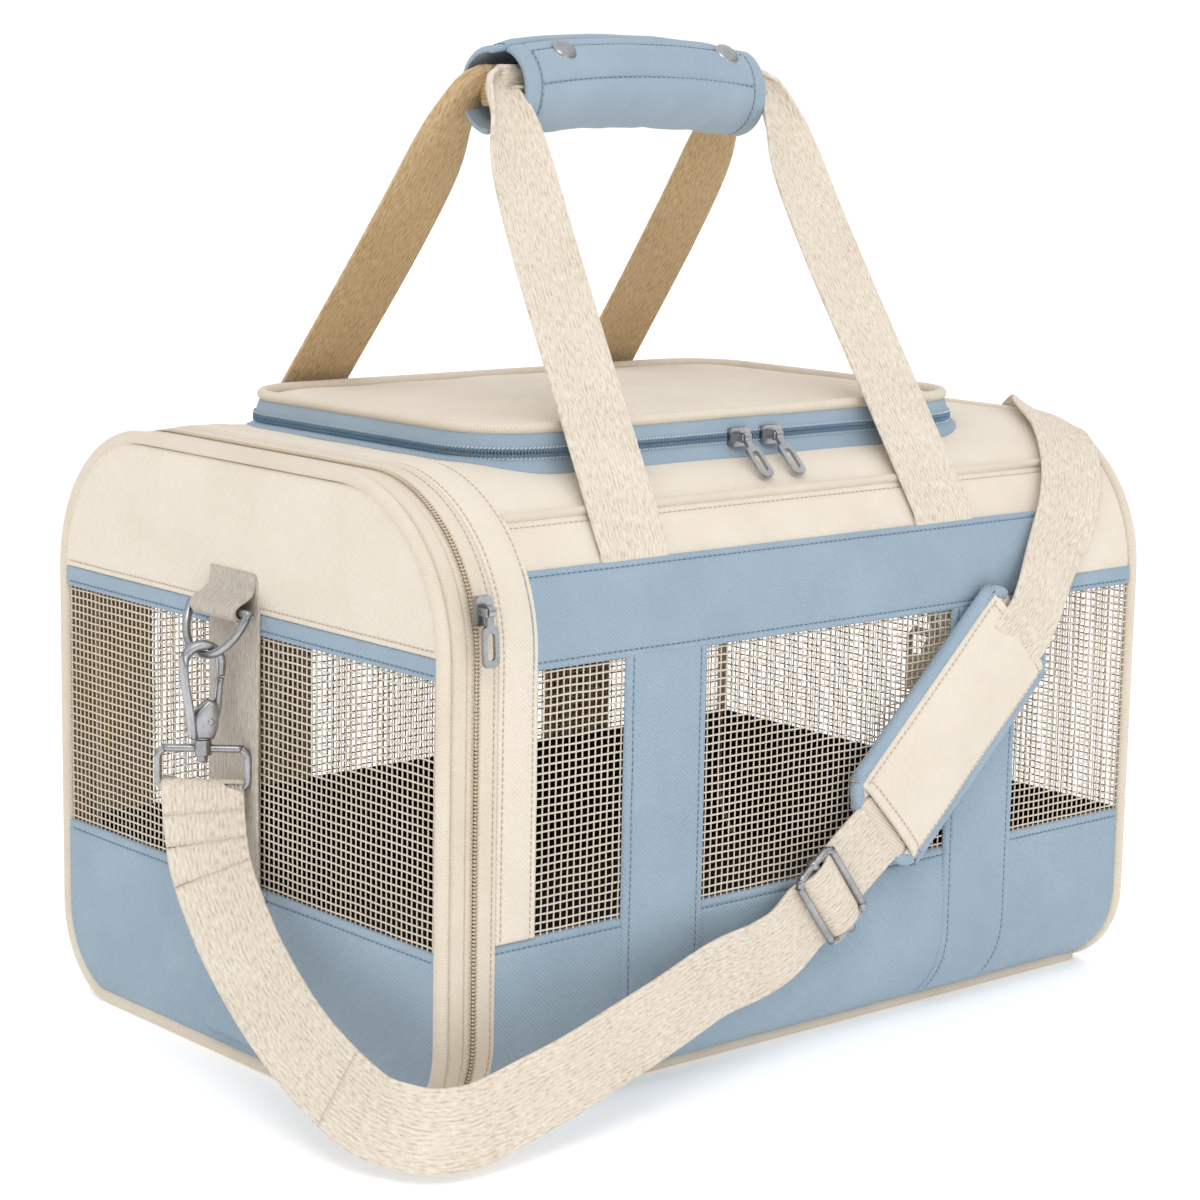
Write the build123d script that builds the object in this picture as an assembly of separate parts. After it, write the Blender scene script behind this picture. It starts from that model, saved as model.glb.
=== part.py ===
from build123d import *
import os
from math import asin, cos, degrees, radians, sin

# Soft-sided pet transport carrier. Millimetres, +Z up, +X along the length towards the fixed end,
# -X is the zipped end door, -Y is the side with the shoulder pad. Origin: centre of the base, on the floor.

# ---- Driving dimensions ----
body_length = 450.0
body_width = 310.0
body_height = 290.0
top_corner_radius = 75.0
bottom_corner_radius = 45.0
wall = 3.0                  # padded fabric panel
overlay = 1.5               # webbing or trim sewn on the outside of a panel
mesh_thickness = 1.2
lower_panel_height = 88.0
band_drop = 40.0             # band's top edge below the top of the bag
band_depth = 42.5           # band's height, down to the window
ridge_angle = 132.0         # where the long top seam crosses the upper corner arc, degrees from +Y
piping_radius = 3.25
piping_proud = 1.5
piping_inset_y = 26.0       # base piping, in from the side
wire_radius = 1.25          # spring wire hoop in the end piping
joint_gap = 0.4             # clearance between bodies that part or turn
seat_gap = 0.05             # clearance beside round trim

door_depth = 17.0           # end panel to zipper
zip_tape = 10.5             # one zipper tape, chain edge to seam
door_facing = 22.0          # bound strip beside the zipper
hinge_lift = 8.0            # the zipper stops this far above the floor

hatch_left = -163.0
hatch_right = 158.0
hatch_half_width = 104.0
hatch_corner_radius = 38.0
hatch_rise = 4.0            # lid zipper above the top of the bag
lid_rise = 13.0             # lid panel's top above the top of the bag
lid_crown = 3.5
lid_thickness = 3.0
crown_margin = 22.0
zip_wall = 2.5
lid_piping_radius = 2.2

base_board_thickness = 3.0
pad_thickness = 20.0
pad_margin = 12.0
pad_corner_radius = 25.0

webbing_width = 40.0
webbing_thickness = 2.2
window_strap_width = 49.0
strap_centres = (-100.0, 112.0)

handle_feet = (-112.5, 88.5)
foot_rise = 4.1             # leg's end above the band's top edge
leg_lift_angle = 145.0      # where a leg leaves the shoulder, degrees from +Y
grip_ends = (-74.0, 84.0)
grip_rise = 167.5           # grip's centre line above the top of the bag
grip_radius = 22.0
grip_wall = 5.0
bundle_depth = 10.0
bundle_height = 17.0
snap_centres = (-45.0, 61.0)
snap_radius = 6.5
snap_angle = 130.0          # degrees up from +Y, about the grip
wrap_lip = 90.0             # where the wrap's upper edge lies over the flap
grip_seam = 268.0           # where the flap is sewn to the wrap, underneath

ring_wire = 2.0
ring_radius = 23.0
ring_stand_off = 11.0       # wire centre out from the end panel
ring_drop = 71.0            # ring bars below the top of the bag
ring_centre_y = 0.0
tab_width = 42.0
hook_turn = -41.0           # hook plane about +Z from +X
hook_wire = 2.3
hook_crown_radius = 8.6
hook_length = 26.0          # crown centre to the base block
hook_stand_off = 21.0       # hook's line out from the end panel
hook_block_height = 9.0
barrel_radius = 4.0
barrel_length = 9.0
swivel_gap = 0.3
loop_half_width = 20.8
loop_height = 19.0
loop_wire = 1.8
gate_pin_radius = 1.2
pin_clearance = 0.06

strap_width = 38.0
strap_thickness = 2.4
strap_lift = 2.0            # strap clear of the shoulder it lies over
pad_sleeve_width = 62.0
pad_sleeve_thickness = 9.0
buckle_wire = 2.0
buckle_half_width = 21.0
buckle_half_height = 12.7
buckle_slope = 37.0

slider_length = 13.0
slider_width = 9.0
slider_stand = 5.6          # pull pin out from the slider's back
slider_thickness = 2.6
pull_length = 24.0
pull_width = 8.5
pull_thickness = 1.8
pull_eye_radius = 1.6
pull_pin_radius = 0.9
pull_neck = 3.4
slider_play = 0.2
lug_thickness = 1.2
lid_slider_x = (-12.0, 9.0)
lid_pull_tilt = -46.0
door_slider_drop = 52.0
door_pull_tilt = -4.0

hook_y = -1.0

half_length = body_length / 2
half_width = body_width / 2
door_split = -half_length + door_depth
band_top = body_height - band_drop
window_top = band_top - band_depth
hatch_foot = body_height - 40
hatch_split_height = body_height + hatch_rise
lid_top = body_height + lid_rise
grip_height = body_height + grip_rise
ring_bar_height = body_height - ring_drop
door_slider_height = body_height - door_slider_drop
parts = {}


# ---- Helpers ----
def block(x0, x1, y0, y1, z0, z1):
    size = (x1 - x0, y1 - y0, z1 - z0)
    return Pos((x0 + x1) / 2, (y0 + y1) / 2, (z0 + z1) / 2) * Box(*size)


def span(z0, z1, y0=-400, y1=400, x0=-400, x1=400):
    return block(x0, x1, y0, y1, z0, z1)


def section(inset, floor_inset=None):
    """Rounded cross-section of the bag in the YZ plane, inset from the outer face."""
    low = inset if floor_inset is None else floor_inset
    width, height = body_width - 2 * inset, body_height - inset - low
    outline = Pos(0, low + height / 2) * Rectangle(width, height)
    tops = outline.vertices().sort_by(Axis.Y)[2:]
    outline = fillet(tops, top_corner_radius - inset)
    bottoms = outline.vertices().sort_by(Axis.Y)[:2]
    return fillet(bottoms, bottom_corner_radius - inset)


def tube(x0, x1, inset, floor_inset=None):
    return Pos(x0, 0, 0) * extrude(Plane.YZ * section(inset, floor_inset), x1 - x0)


def skin(x0, x1, outer, thickness):
    """The bag's wall between two stations along its length."""
    return tube(x0, x1, outer) - tube(x0 - 1, x1 + 1, outer + thickness)


def rod(start, end, radius):
    a, b = Vector(*start), Vector(*end)
    return extrude(Plane(a, z_dir=(b - a).normalized()) * Circle(radius), (b - a).length)


def hoop(x, inset, floor_inset, radius):
    """A closed round cord that follows the bag's section at one station."""
    path = (Pos(x, 0, 0) * (Plane.YZ * section(inset, floor_inset))).faces()[0].outer_wire()
    start = path @ 0
    return sweep(Plane(start, z_dir=path % 0) * Circle(radius), path=path)


def ribbon(stations, width, thickness, sizes=None):
    """A flat strap through (point, face normal) stations; sizes gives each section where they differ."""
    sections = []
    for i, (point, normal) in enumerate(stations):
        before = Vector(*stations[max(i - 1, 0)][0])
        after = Vector(*stations[min(i + 1, len(stations) - 1)][0])
        along = (after - before).normalized()
        across = Vector(*normal).cross(along).normalized()
        plane = Plane(Vector(*point), x_dir=across, z_dir=along)
        sections.append(plane * Rectangle(*(sizes[i] if sizes else (width, thickness))))
    return loft(sections, ruled=True)


def rounded_slab(x0, x1, half_y, radius, z0, height):
    plate = RectangleRounded(x1 - x0, 2 * half_y, radius)
    return extrude(Pos((x0 + x1) / 2, 0, z0) * plate, height)


def mirrored_sides(solid):
    return [solid, mirror(solid, Plane.XZ)]


def on_arc(angle, offset):
    """Y and Z of a point on the front upper corner arc, angle from +Y, offset outwards."""
    reach = top_corner_radius + offset
    centre_y, centre_z = -half_width + top_corner_radius, body_height - top_corner_radius
    return centre_y + reach * cos(radians(angle)), centre_z + reach * sin(radians(angle))


# ---- Base ----
piping_y = half_width - piping_inset_y
end_x = half_length - piping_radius - seat_gap
tube_start = door_split + joint_gap / 2


def base_rods(x0, x1, radius):
    """Round cords along the two long edges of the base."""
    sides = (-piping_y, piping_y)
    return [rod((x0, y, piping_radius), (x1, y, piping_radius), radius) for y in sides]


def base_parts():
    full = skin(tube_start, end_x, 0, wall)
    floor = full & span(-1, 30, -piping_y, piping_y)
    room = base_rods(-half_length, half_length, piping_radius + seat_gap)
    hem = block(-half_length + 2 * piping_radius, tube_start, -piping_y + 2 * piping_radius,
                piping_y - 2 * piping_radius, 0, wall)
    parts["base_panel"] = floor - room[0] - room[1] + hem
    parts["base_piping"] = Compound(base_rods(door_split, end_x - piping_radius, piping_radius))
    board_low = wall + seat_gap
    parts["base_board"] = rounded_slab(tube_start + wall, end_x - 2 * wall, piping_y - 22, pad_corner_radius,
                                       board_low, base_board_thickness)
    pad_low = board_low + base_board_thickness + seat_gap
    pad = rounded_slab(tube_start + pad_margin, end_x - pad_margin, half_width - 2 * pad_margin,
                       pad_corner_radius, pad_low, pad_thickness)
    parts["floor_pad"] = pad & tube(-300, 300, wall + 2)


# ---- Long sides ----
def side_parts():
    full = skin(tube_start, end_x, 0, wall)
    low = full & (span(0, lower_panel_height, -400, -piping_y) + span(30, lower_panel_height, -400, 0))
    low = low - base_rods(-half_length, half_length, piping_radius + seat_gap)[0]
    parts["front_lower_panel"], parts["rear_lower_panel"] = mirrored_sides(low)
    mesh = skin(tube_start + wall, end_x, 0, mesh_thickness) & span(lower_panel_height, window_top, -400, 0)
    parts["front_window_mesh"], parts["rear_window_mesh"] = mirrored_sides(mesh)
    ridge_z = on_arc(ridge_angle, 0)[1]
    shoulder = full & (span(window_top, band_top, -400, 0) + span(band_top - 1, ridge_z, -400, -90))
    parts["shoulder_panels"] = Compound(mirrored_sides(shoulder))
    facing = door_split + joint_gap / 2 + zip_tape + door_facing
    cover = skin(facing, end_x, -overlay, overlay)
    band = cover & span(window_top, band_top, -400, 0)
    parts["window_bands"] = Compound(mirrored_sides(band))
    straps = []
    for centre in strap_centres:
        x0, x1 = centre - window_strap_width / 2, centre + window_strap_width / 2
        strap = skin(x0, x1, -overlay, overlay) & span(bottom_corner_radius / 4, window_top, -400, 0)
        straps += mirrored_sides(strap)
    parts["window_straps"] = Compound(straps)
    return ridge_z


# ---- Top ----
def hatch_hole(margin, z0=hatch_foot, height=80):
    ends = hatch_left + margin, hatch_right - margin
    radius = hatch_corner_radius - margin
    return rounded_slab(*ends, hatch_half_width - margin, radius, z0, height)


def top_parts(ridge_z):
    full = skin(tube_start, end_x, 0, wall) & span(ridge_z, body_height + 1)
    parts["top_panel"] = full - hatch_hole(2 * zip_wall)
    rim = hatch_hole(0, hatch_foot, hatch_split_height - hatch_foot) - hatch_hole(zip_wall)
    parts["hatch_zip_base"] = rim - tube(-300, 300, 0)
    lid_low = hatch_split_height + joint_gap
    parts["lid_zip_band"] = hatch_hole(0, lid_low, lid_top - lid_low) - hatch_hole(zip_wall)
    lid = hatch_hole(zip_wall, lid_top - lid_thickness, lid_thickness)
    crown = hatch_hole(2 * lid_piping_radius + crown_margin, lid_top, lid_crown)
    parts["lid_panel"] = lid + crown
    outer = hatch_hole(0, lid_top, 2 * lid_piping_radius)
    parts["lid_piping"] = outer - hatch_hole(2 * lid_piping_radius)


# ---- Zipped end door and the frame around it ----
def end_sheet(x, thickness, z0, z1):
    """A stretch of the flat end panel, inside the end piping."""
    inset = 2 * piping_radius - piping_proud + seat_gap
    sheet = tube(x - thickness / 2, x + thickness / 2, inset, 2 * piping_radius + seat_gap)
    return sheet & span(z0, z1)


def end_panels(prefix, x):
    parts[prefix + "_upper_panel"] = end_sheet(x, wall, window_top, body_height)
    parts[prefix + "_lower_panel"] = end_sheet(x, wall, 0, lower_panel_height)
    parts[prefix + "_mesh"] = end_sheet(x, mesh_thickness, lower_panel_height, window_top)
    ring = hoop(x, piping_radius - piping_proud, piping_radius, piping_radius)
    wire = hoop(x, piping_radius - piping_proud, piping_radius, wire_radius)
    parts[prefix + "_piping"] = ring - wire
    parts[prefix + "_frame_wire"] = wire


def door_parts():
    end_panels("door", -half_length)
    above = span(hinge_lift, 400)
    gusset_start = -half_length + piping_radius + seat_gap
    zip_start = door_split - zip_tape / 2
    parts["door_gusset"] = skin(gusset_start, zip_start, 0, wall) & above
    parts["door_zip_tape"] = skin(zip_start, door_split - joint_gap / 2, 0, wall - 1) & above
    facing_start = tube_start + zip_tape
    parts["door_frame_zip_tape"] = skin(tube_start, facing_start, -overlay, overlay - seat_gap) & above
    facing = skin(facing_start, facing_start + door_facing, -overlay, overlay)
    parts["door_frame_facing"] = facing & span(lower_panel_height, 400)
    face = -half_length - wall / 2
    low, high = 2 * piping_radius + 2, ring_bar_height + 14
    parts["door_centre_webbing"] = block(face - overlay, face, -24, 24, low, high)


# ---- Strap hardware, built around a vertical line beside an end panel ----
def ring_tab(x, side):
    """Folded webbing tab that holds a ring's bar; side is -1 on the door, +1 on the fixed end."""
    out = x + side * ring_stand_off
    fold = ring_wire + joint_gap + webbing_thickness
    inner = x + side * (wall / 2 + overlay)
    x0, x1 = sorted((inner, out))
    y0, y1 = ring_centre_y - tab_width / 2 + 2, ring_centre_y + tab_width / 2 - 2
    tab = block(x0, x1, y0, y1, ring_bar_height - fold, ring_bar_height + fold)
    ends = (out, y0, ring_bar_height), (out, y1, ring_bar_height)
    tab = tab + rod(*ends, fold)
    return tab - rod((out, y0 - 1, ring_bar_height), (out, y1 + 1, ring_bar_height), ring_wire + joint_gap)


ring_tilt = degrees(asin((hook_stand_off - ring_stand_off) / ring_radius))


def d_ring(x, side):
    """Wire ring: straight bar in the tab, half circle hanging below it, tipped out to the hook's line."""
    y0, y1 = ring_centre_y - ring_radius, ring_centre_y + ring_radius
    bar = rod((x, y0, ring_bar_height), (x, y1, ring_bar_height), ring_wire)
    bow = Pos(x, ring_centre_y, ring_bar_height) * (Rot(0, 90, 0) * Torus(ring_radius, ring_wire))
    bow = bow & span(0, ring_bar_height)
    corners = [Pos(x, y, ring_bar_height) * Sphere(ring_wire) for y in (y0, y1)]
    whole = bar + bow + corners[0] + corners[1]
    return whole.rotate(Axis((x, 0, ring_bar_height), (0, 1, 0)), -side * ring_tilt)


ring_low = ring_bar_height - ring_radius * cos(radians(ring_tilt))
crown_height = ring_low + ring_wire + joint_gap - hook_crown_radius + hook_wire
block_top = crown_height - hook_length
block_low = block_top - hook_block_height
loop_top = block_low - swivel_gap - barrel_length / 2


def hook_body():
    """Snap hook around the local Z axis: crown, spine, nose and base block, gate side towards +X."""
    crown = Pos(0, 0, crown_height) * (Rot(90, 0, 0) * Torus(hook_crown_radius, hook_wire))
    crown = crown & span(crown_height, 400)
    spine = rod((-hook_crown_radius, 0, crown_height), (-hook_crown_radius, 0, block_top - 1), hook_wire)
    nose = rod((hook_crown_radius, 0, crown_height), (hook_crown_radius, 0, crown_height - 6), hook_wire)
    base_width = 2 * (hook_crown_radius + hook_wire)
    base = Pos(0, 0, (block_top + block_low) / 2) * Box(base_width, 8, hook_block_height)
    slot = Pos(hook_crown_radius, 0, block_top) * Box(7.5, 4.4, 12)
    pin_line = (hook_crown_radius, -8, block_top - 3), (hook_crown_radius, 8, block_top - 3)
    pin_hole = rod(*pin_line, gate_pin_radius)
    return crown + spine + nose + (base - slot) - pin_hole


def gate():
    """Sprung gate that closes the hook's mouth, on the pin through the base block."""
    low, high = block_top - 3, crown_height - 6 - joint_gap
    blade = Pos(hook_crown_radius, 0, (low + high) / 2) * Box(4, 3.6, high - low)
    knuckle = rod((hook_crown_radius, -1.8, low), (hook_crown_radius, 1.8, low), 2.6)
    bore = rod((hook_crown_radius, -9, low), (hook_crown_radius, 9, low), gate_pin_radius + pin_clearance)
    return blade + knuckle - bore


def gate_pin():
    return rod((hook_crown_radius, -4, block_top - 3), (hook_crown_radius, 4, block_top - 3), gate_pin_radius)


def swivel_loop():
    """Barrel under the hook with the wire loop that carries the strap."""
    top = block_low - swivel_gap
    barrel = rod((0, 0, top - barrel_length), (0, 0, top), barrel_radius)
    corners = [(-loop_half_width, loop_top), (loop_half_width, loop_top),
               (loop_half_width, loop_top - loop_height), (-loop_half_width, loop_top - loop_height)]
    wires = barrel
    for (xa, za), (xb, zb) in zip(corners, corners[1:] + corners[:1]):
        wires = wires + rod((xa, 0, za), (xb, 0, zb), loop_wire) + Pos(xa, 0, za) * Sphere(loop_wire)
    return wires


def clip_parts(prefix, side, turn, loop_turn):
    panel_x = side * half_length
    parts[prefix + "_ring_tab"] = ring_tab(panel_x, side)
    parts[prefix + "_d_ring"] = d_ring(panel_x + side * ring_stand_off, side)
    line = Pos(panel_x + side * hook_stand_off, hook_y, 0)
    place = line * Rot(0, 0, turn)
    parts[prefix + "_hook"] = place * hook_body()
    parts[prefix + "_hook_gate"] = place * gate()
    parts[prefix + "_gate_pin"] = place * gate_pin()
    parts[prefix + "_swivel_loop"] = line * Rot(0, 0, loop_turn) * swivel_loop()


# ---- Handles ----
def handle_leg(foot_x, top_x):
    """One webbing leg: up the shoulder from the band's top edge, then straight to the folded grip end."""
    offset = joint_gap + webbing_thickness / 2
    arc_z = body_height - top_corner_radius
    foot_angle = 180 - degrees(asin((band_top + foot_rise - arc_z) / (top_corner_radius + offset)))
    foot_y, foot_z = on_arc(foot_angle, offset)
    lift_y, lift_z = on_arc(leg_lift_angle, offset)
    top_y, top_z = -bundle_depth / 2 - 1, grip_height - 3
    rise = Vector(0, top_y - lift_y, top_z - lift_z)
    out = (0, -rise.Z, rise.Y)
    lift = Vector(foot_x + (top_x - foot_x) * 0.04, lift_y, lift_z)
    across = Vector(top_x, top_y, top_z) - lift
    gather = lift + across * 0.86
    stations = [((foot_x, foot_y, foot_z), (0, cos(radians(foot_angle)), sin(radians(foot_angle)))),
                (lift, out), (gather, out), ((top_x, top_y, top_z), out)]
    full = (webbing_width, webbing_thickness)
    return ribbon(stations, *full, sizes=[full, full, (webbing_width - 18, 2 * webbing_thickness), (11, 8)])


def handle(side):
    """Front handle for side -1; the rear one is its mirror image."""
    tops = (grip_ends[0] - 8.5, grip_ends[1] + 8.5)
    whole = block(grip_ends[0] - 14, grip_ends[1] + 14, -bundle_depth - 0.6, -0.6,
                  grip_height - bundle_height / 2, grip_height + bundle_height / 2)
    for foot, top in zip(handle_feet, tops):
        whole = whole + handle_leg(foot, top)
    return whole if side < 0 else mirror(whole, Plane.XZ)


def grip_sector(start, end):
    """Wedge about the grip's centre line between two angles, degrees up from +Y."""
    reach = 3 * grip_radius
    rim = [start + (end - start) * k / 4 for k in range(5)]
    points = [(0, grip_height)]
    points += [(reach * cos(radians(a)), grip_height + reach * sin(radians(a))) for a in rim]
    face = Plane.YZ * make_face(Polyline(*points, close=True))
    return Pos(-body_length, 0, 0) * extrude(face, 2 * body_length)


def grip_shells():
    """The wrap goes from underneath, round the front and over the top; the flap closes the back."""
    low, high = grip_ends
    outer = rod((low, 0, grip_height), (high, 0, grip_height), grip_radius)
    inner = rod((low - 1, 0, grip_height), (high + 1, 0, grip_height), grip_radius - grip_wall)
    slack = degrees(joint_gap / grip_radius)
    wrap = outer - inner - grip_sector(grip_seam - 360, wrap_lip)
    return wrap, (outer - inner) & grip_sector(grip_seam - 360 + slack, wrap_lip - slack)


def snap_caps():
    caps = []
    for x in snap_centres:
        tilt = Pos(x, 0, grip_height) * Rot(snap_angle - 90, 0, 0)
        caps.append(tilt * (Pos(0, 0, grip_radius + 0.9) * Cylinder(snap_radius, 1.8)))
    return Compound(caps)


def handle_parts():
    parts["front_handle_webbing"] = handle(-1)
    parts["rear_handle_webbing"] = handle(1)
    parts["grip_wrap"], parts["grip_flap"] = grip_shells()
    parts["snap_caps"] = snap_caps()


# ---- Zipper sliders ----
def slider_body(length, width):
    """Slider seen from outside: pin along X, up is +Y, outwards is +Z, pin centre at the origin."""
    body = Pos(0, 0, slider_thickness / 2 - slider_stand) * Box(length, width, slider_thickness)
    body = fillet(body.edges().filter_by(Axis.Z), 2)
    lug_x = pull_neck / 2 + slider_play + lug_thickness / 2
    lug_height = slider_stand - slider_thickness + 1.5
    lugs = [Pos(x, 0, 1.5 - lug_height / 2) * Box(lug_thickness, 3.6, lug_height) for x in (-lug_x, lug_x)]
    return body + lugs[0] + lugs[1] + rod((-lug_x, 0, 0), (lug_x, 0, 0), pull_pin_radius)


def slider_pull(tilt):
    """Flat pull that hangs from the pin, swung outwards by tilt degrees."""
    neck = Pos(0, -3.5) * Rectangle(pull_neck, 7 + 2 * pull_eye_radius + 2)
    tag = Pos(0, -6 - (pull_length - 6) / 2) * RectangleRounded(pull_width, pull_length - 6, 3)
    slot = Pos(0, -6 - (pull_length - 6) / 2) * RectangleRounded(pull_width - 4.4, pull_length - 12, 1.9)
    shape = neck + tag - slot
    plate = Pos(0, 0, -pull_thickness / 2) * extrude(shape, pull_thickness)
    plate = plate + rod((-pull_neck / 2, 0, 0), (pull_neck / 2, 0, 0), pull_eye_radius + 0.9)
    plate = plate - rod((-9, 0, 0), (9, 0, 0), pull_eye_radius)
    return Rot(tilt, 0, 0) * plate


def slider_parts():
    lid_y = -hatch_half_width - joint_gap - slider_stand
    for name, x in zip(("lid_slider_left", "lid_slider_right"), lid_slider_x):
        place = Plane((x, lid_y, hatch_split_height), x_dir=(1, 0, 0), z_dir=(0, -1, 0))
        parts[name] = place * slider_body(slider_length, slider_width)
        parts[name + "_pull"] = place * slider_pull(lid_pull_tilt)
    door_y = -half_width - overlay - joint_gap - slider_stand
    place = Plane((door_split, door_y, door_slider_height), x_dir=(1, 0, 0), z_dir=(0, -1, 0))
    parts["door_slider"] = place * slider_body(slider_width, slider_length)
    parts["door_slider_pull"] = place * slider_pull(door_pull_tilt)


# ---- Shoulder strap ----
def strap_piece(route):
    """Strap through (x, y, z, facing) points; facing turns the face from -Y towards -X, lift tips it up."""
    stations = []
    for x, y, z, facing, lift in route:
        normal = (-sin(radians(facing)) * cos(radians(lift)), -cos(radians(facing)) * cos(radians(lift)),
                  sin(radians(lift)))
        stations.append(((x, y, z), normal))
    return ribbon(stations, strap_width, strap_thickness)


def over_shoulder(x, angle, turn=0):
    """A strap station on the front shoulder, angle up from the side's face."""
    y, z = on_arc(180 - angle, overlay + strap_thickness / 2 + strap_lift)
    return x, y, z, turn, angle


def strap_parts():
    left_x, right_x = -half_length - hook_stand_off, half_length + hook_stand_off
    bar_low = loop_top - loop_height - loop_wire - strap_thickness
    drop = [(left_x, hook_y, bar_low, 41, 0), (left_x - 0.4, hook_y - 0.4, bar_low - 9, 41, 0),
            (left_x - 3, -10, 106, 41, 0), (left_x - 6, -27, 86, 41, 0), (left_x - 10, -51, 68, 41, 0),
            (left_x - 16, -87, 50, 41, 0), (left_x - 21, -125, 37, 38, 0), (left_x - 21, -157, 28, 33, 0),
            (left_x - 14, -176, 25, 28, 0)]
    front = [(left_x - 11.6, -178.8, 24.8, 26, 0), (left_x - 4, -186, 24, 22, 0),
             (left_x + 14, -190, 24.5, 15, 0), (left_x + 41, -190, 30, 8, 0),
             (-178, -188, 35, 5, 0), (-149, -184, 41, 4, 0), (-119, -180, 47.5, 3, 0),
             (-81, -174, 56, 2, 0), (-52, -170, 61, 1, 0), (-33, -168.5, 64, 0, 0),
             (-22.4, -168, 66.8, 0, 0), (-18.4, -168, 69.8, 0, 0)]
    over_bar = [(-9.6, -171.6, 75.9, 0, 0), (4, -171.6, 86.1, 0, 0)]
    above = [(10, -167, 91, 0, 0), (31, -166, 107, 0, 0)]
    sleeve = [(33, -165.5, 109), (129, -163, 196)]
    over = [(132, -163.5, 199, 0, 3), over_shoulder(157, 10), over_shoulder(176, 26), over_shoulder(194, 45),
            over_shoulder(half_length - 17, 64, -8), over_shoulder(half_length - 6, 79, -20)]
    end = [(right_x - 25, -93, body_height + 5, -27, 80), (right_x - 13, -70, body_height + 7, -50, 62),
           (right_x - 2, -50, body_height - 5, -70, 38), (right_x + 5, -34, body_height - 28, -80, 18),
           (right_x + 11, -18, ring_bar_height + 11, -88, 6), (right_x + 16, -8, ring_bar_height - 21, -90, 2),
           (right_x + 17, -3, ring_bar_height - 51, -90, 0), (right_x + 15, hook_y, bar_low + 15, -90, -14),
           (right_x + 5, hook_y, bar_low - 2.5, -90, -50)]
    parts["strap_left_drop"] = strap_piece(drop)
    parts["strap_front_run"] = Compound([strap_piece(front), strap_piece(over_bar), strap_piece(above)])
    parts["shoulder_pad"] = shoulder_pad(sleeve)
    parts["strap_shoulder_run"] = strap_piece(over)
    parts["strap_right_drop"] = strap_piece(end)
    parts["slide_buckle"] = slide_buckle((-2.8, -168, 81), buckle_slope)


def shoulder_pad(route):
    (x0, y0, z0), (x1, y1, z1) = route
    start, end = Vector(x0, y0 - 1.5, z0), Vector(x1, y1 - 1.5, z1)
    plane = Plane(start, x_dir=(0, 1, 0), z_dir=(end - start).normalized())
    return extrude(plane * RectangleRounded(pad_sleeve_thickness, pad_sleeve_width, 3.5), (end - start).length)


def slide_buckle(centre, slope):
    """Wire frame with a centre bar, in a plane that faces -Y, turned up by slope degrees."""
    corners = [(-buckle_half_height, -buckle_half_width), (buckle_half_height, -buckle_half_width),
               (buckle_half_height, buckle_half_width), (-buckle_half_height, buckle_half_width)]
    wires = rod((0, 0, -buckle_half_width), (0, 0, buckle_half_width), buckle_wire)
    for (xa, za), (xb, zb) in zip(corners, corners[1:] + corners[:1]):
        wires = wires + rod((xa, 0, za), (xb, 0, zb), buckle_wire) + Pos(xa, 0, za) * Sphere(buckle_wire)
    return Pos(*centre) * Rot(0, -slope, 0) * wires


# ---- Build ----
base_parts()
ridge_height = side_parts()
top_parts(ridge_height)
door_parts()
end_panels("fixed_end", half_length)
clip_parts("left", -1, hook_turn, hook_turn)
clip_parts("right", 1, 180, 90)
handle_parts()
slider_parts()
strap_parts()

os.makedirs("parts", exist_ok=True)
for name, shape in parts.items():
    export_step(shape, f"parts/{name}.step")
print(len(parts), "parts")
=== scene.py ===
from math import asin, cos, degrees, pi, radians, sin
import bpy
import numpy as np
from mathutils import Matrix, Vector


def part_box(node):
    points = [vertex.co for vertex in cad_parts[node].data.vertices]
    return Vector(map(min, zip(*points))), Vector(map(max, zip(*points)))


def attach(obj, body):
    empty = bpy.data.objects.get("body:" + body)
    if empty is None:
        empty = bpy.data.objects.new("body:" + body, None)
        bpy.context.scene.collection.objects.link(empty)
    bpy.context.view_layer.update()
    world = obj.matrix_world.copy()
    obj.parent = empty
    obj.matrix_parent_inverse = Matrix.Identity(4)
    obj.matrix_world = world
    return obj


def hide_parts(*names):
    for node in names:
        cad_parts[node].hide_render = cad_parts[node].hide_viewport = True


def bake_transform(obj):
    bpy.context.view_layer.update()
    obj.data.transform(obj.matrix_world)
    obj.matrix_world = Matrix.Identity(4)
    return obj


# Soft-sided pet carrier: fabric panels, mesh windows, webbing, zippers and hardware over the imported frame.
# Lengths are in millimetres and go to metres when a mesh is made. +X is the fixed end, -Y the side with the
# shoulder pad.

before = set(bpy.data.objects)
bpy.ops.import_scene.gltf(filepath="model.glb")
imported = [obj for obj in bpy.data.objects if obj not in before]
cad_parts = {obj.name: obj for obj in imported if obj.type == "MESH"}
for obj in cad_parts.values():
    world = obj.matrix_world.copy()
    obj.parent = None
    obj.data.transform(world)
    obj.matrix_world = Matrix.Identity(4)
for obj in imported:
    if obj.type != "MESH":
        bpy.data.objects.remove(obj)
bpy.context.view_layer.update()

# ---- Sizes ----
HALF_LENGTH, HALF_WIDTH, HEIGHT = 225.0, 155.0, 290.0
R_TOP, R_LOW = 75.0, 45.0
TOP_FLAT = HALF_WIDTH - R_TOP
T_WALL = TOP_FLAT + R_TOP * pi / 2                  # the upright wall starts this far from the top centre
T_LOW = T_WALL + HEIGHT - R_TOP - R_LOW             # the lower corner starts
T_FLOOR = T_LOW + R_LOW * pi / 2                    # the floor starts
Z_SILL, Z_HEAD, Z_BAND = 88.0, 207.5, 250.0         # window bottom, window top, band top
SPLIT = -208.0                                      # the door's zipper
TUBE_START, END_X = SPLIT + 0.2, 221.7
FACING = (-197.3, -175.3)
PIPE = 3.25
PIPE_Y = HALF_WIDTH - 26.0
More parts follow.
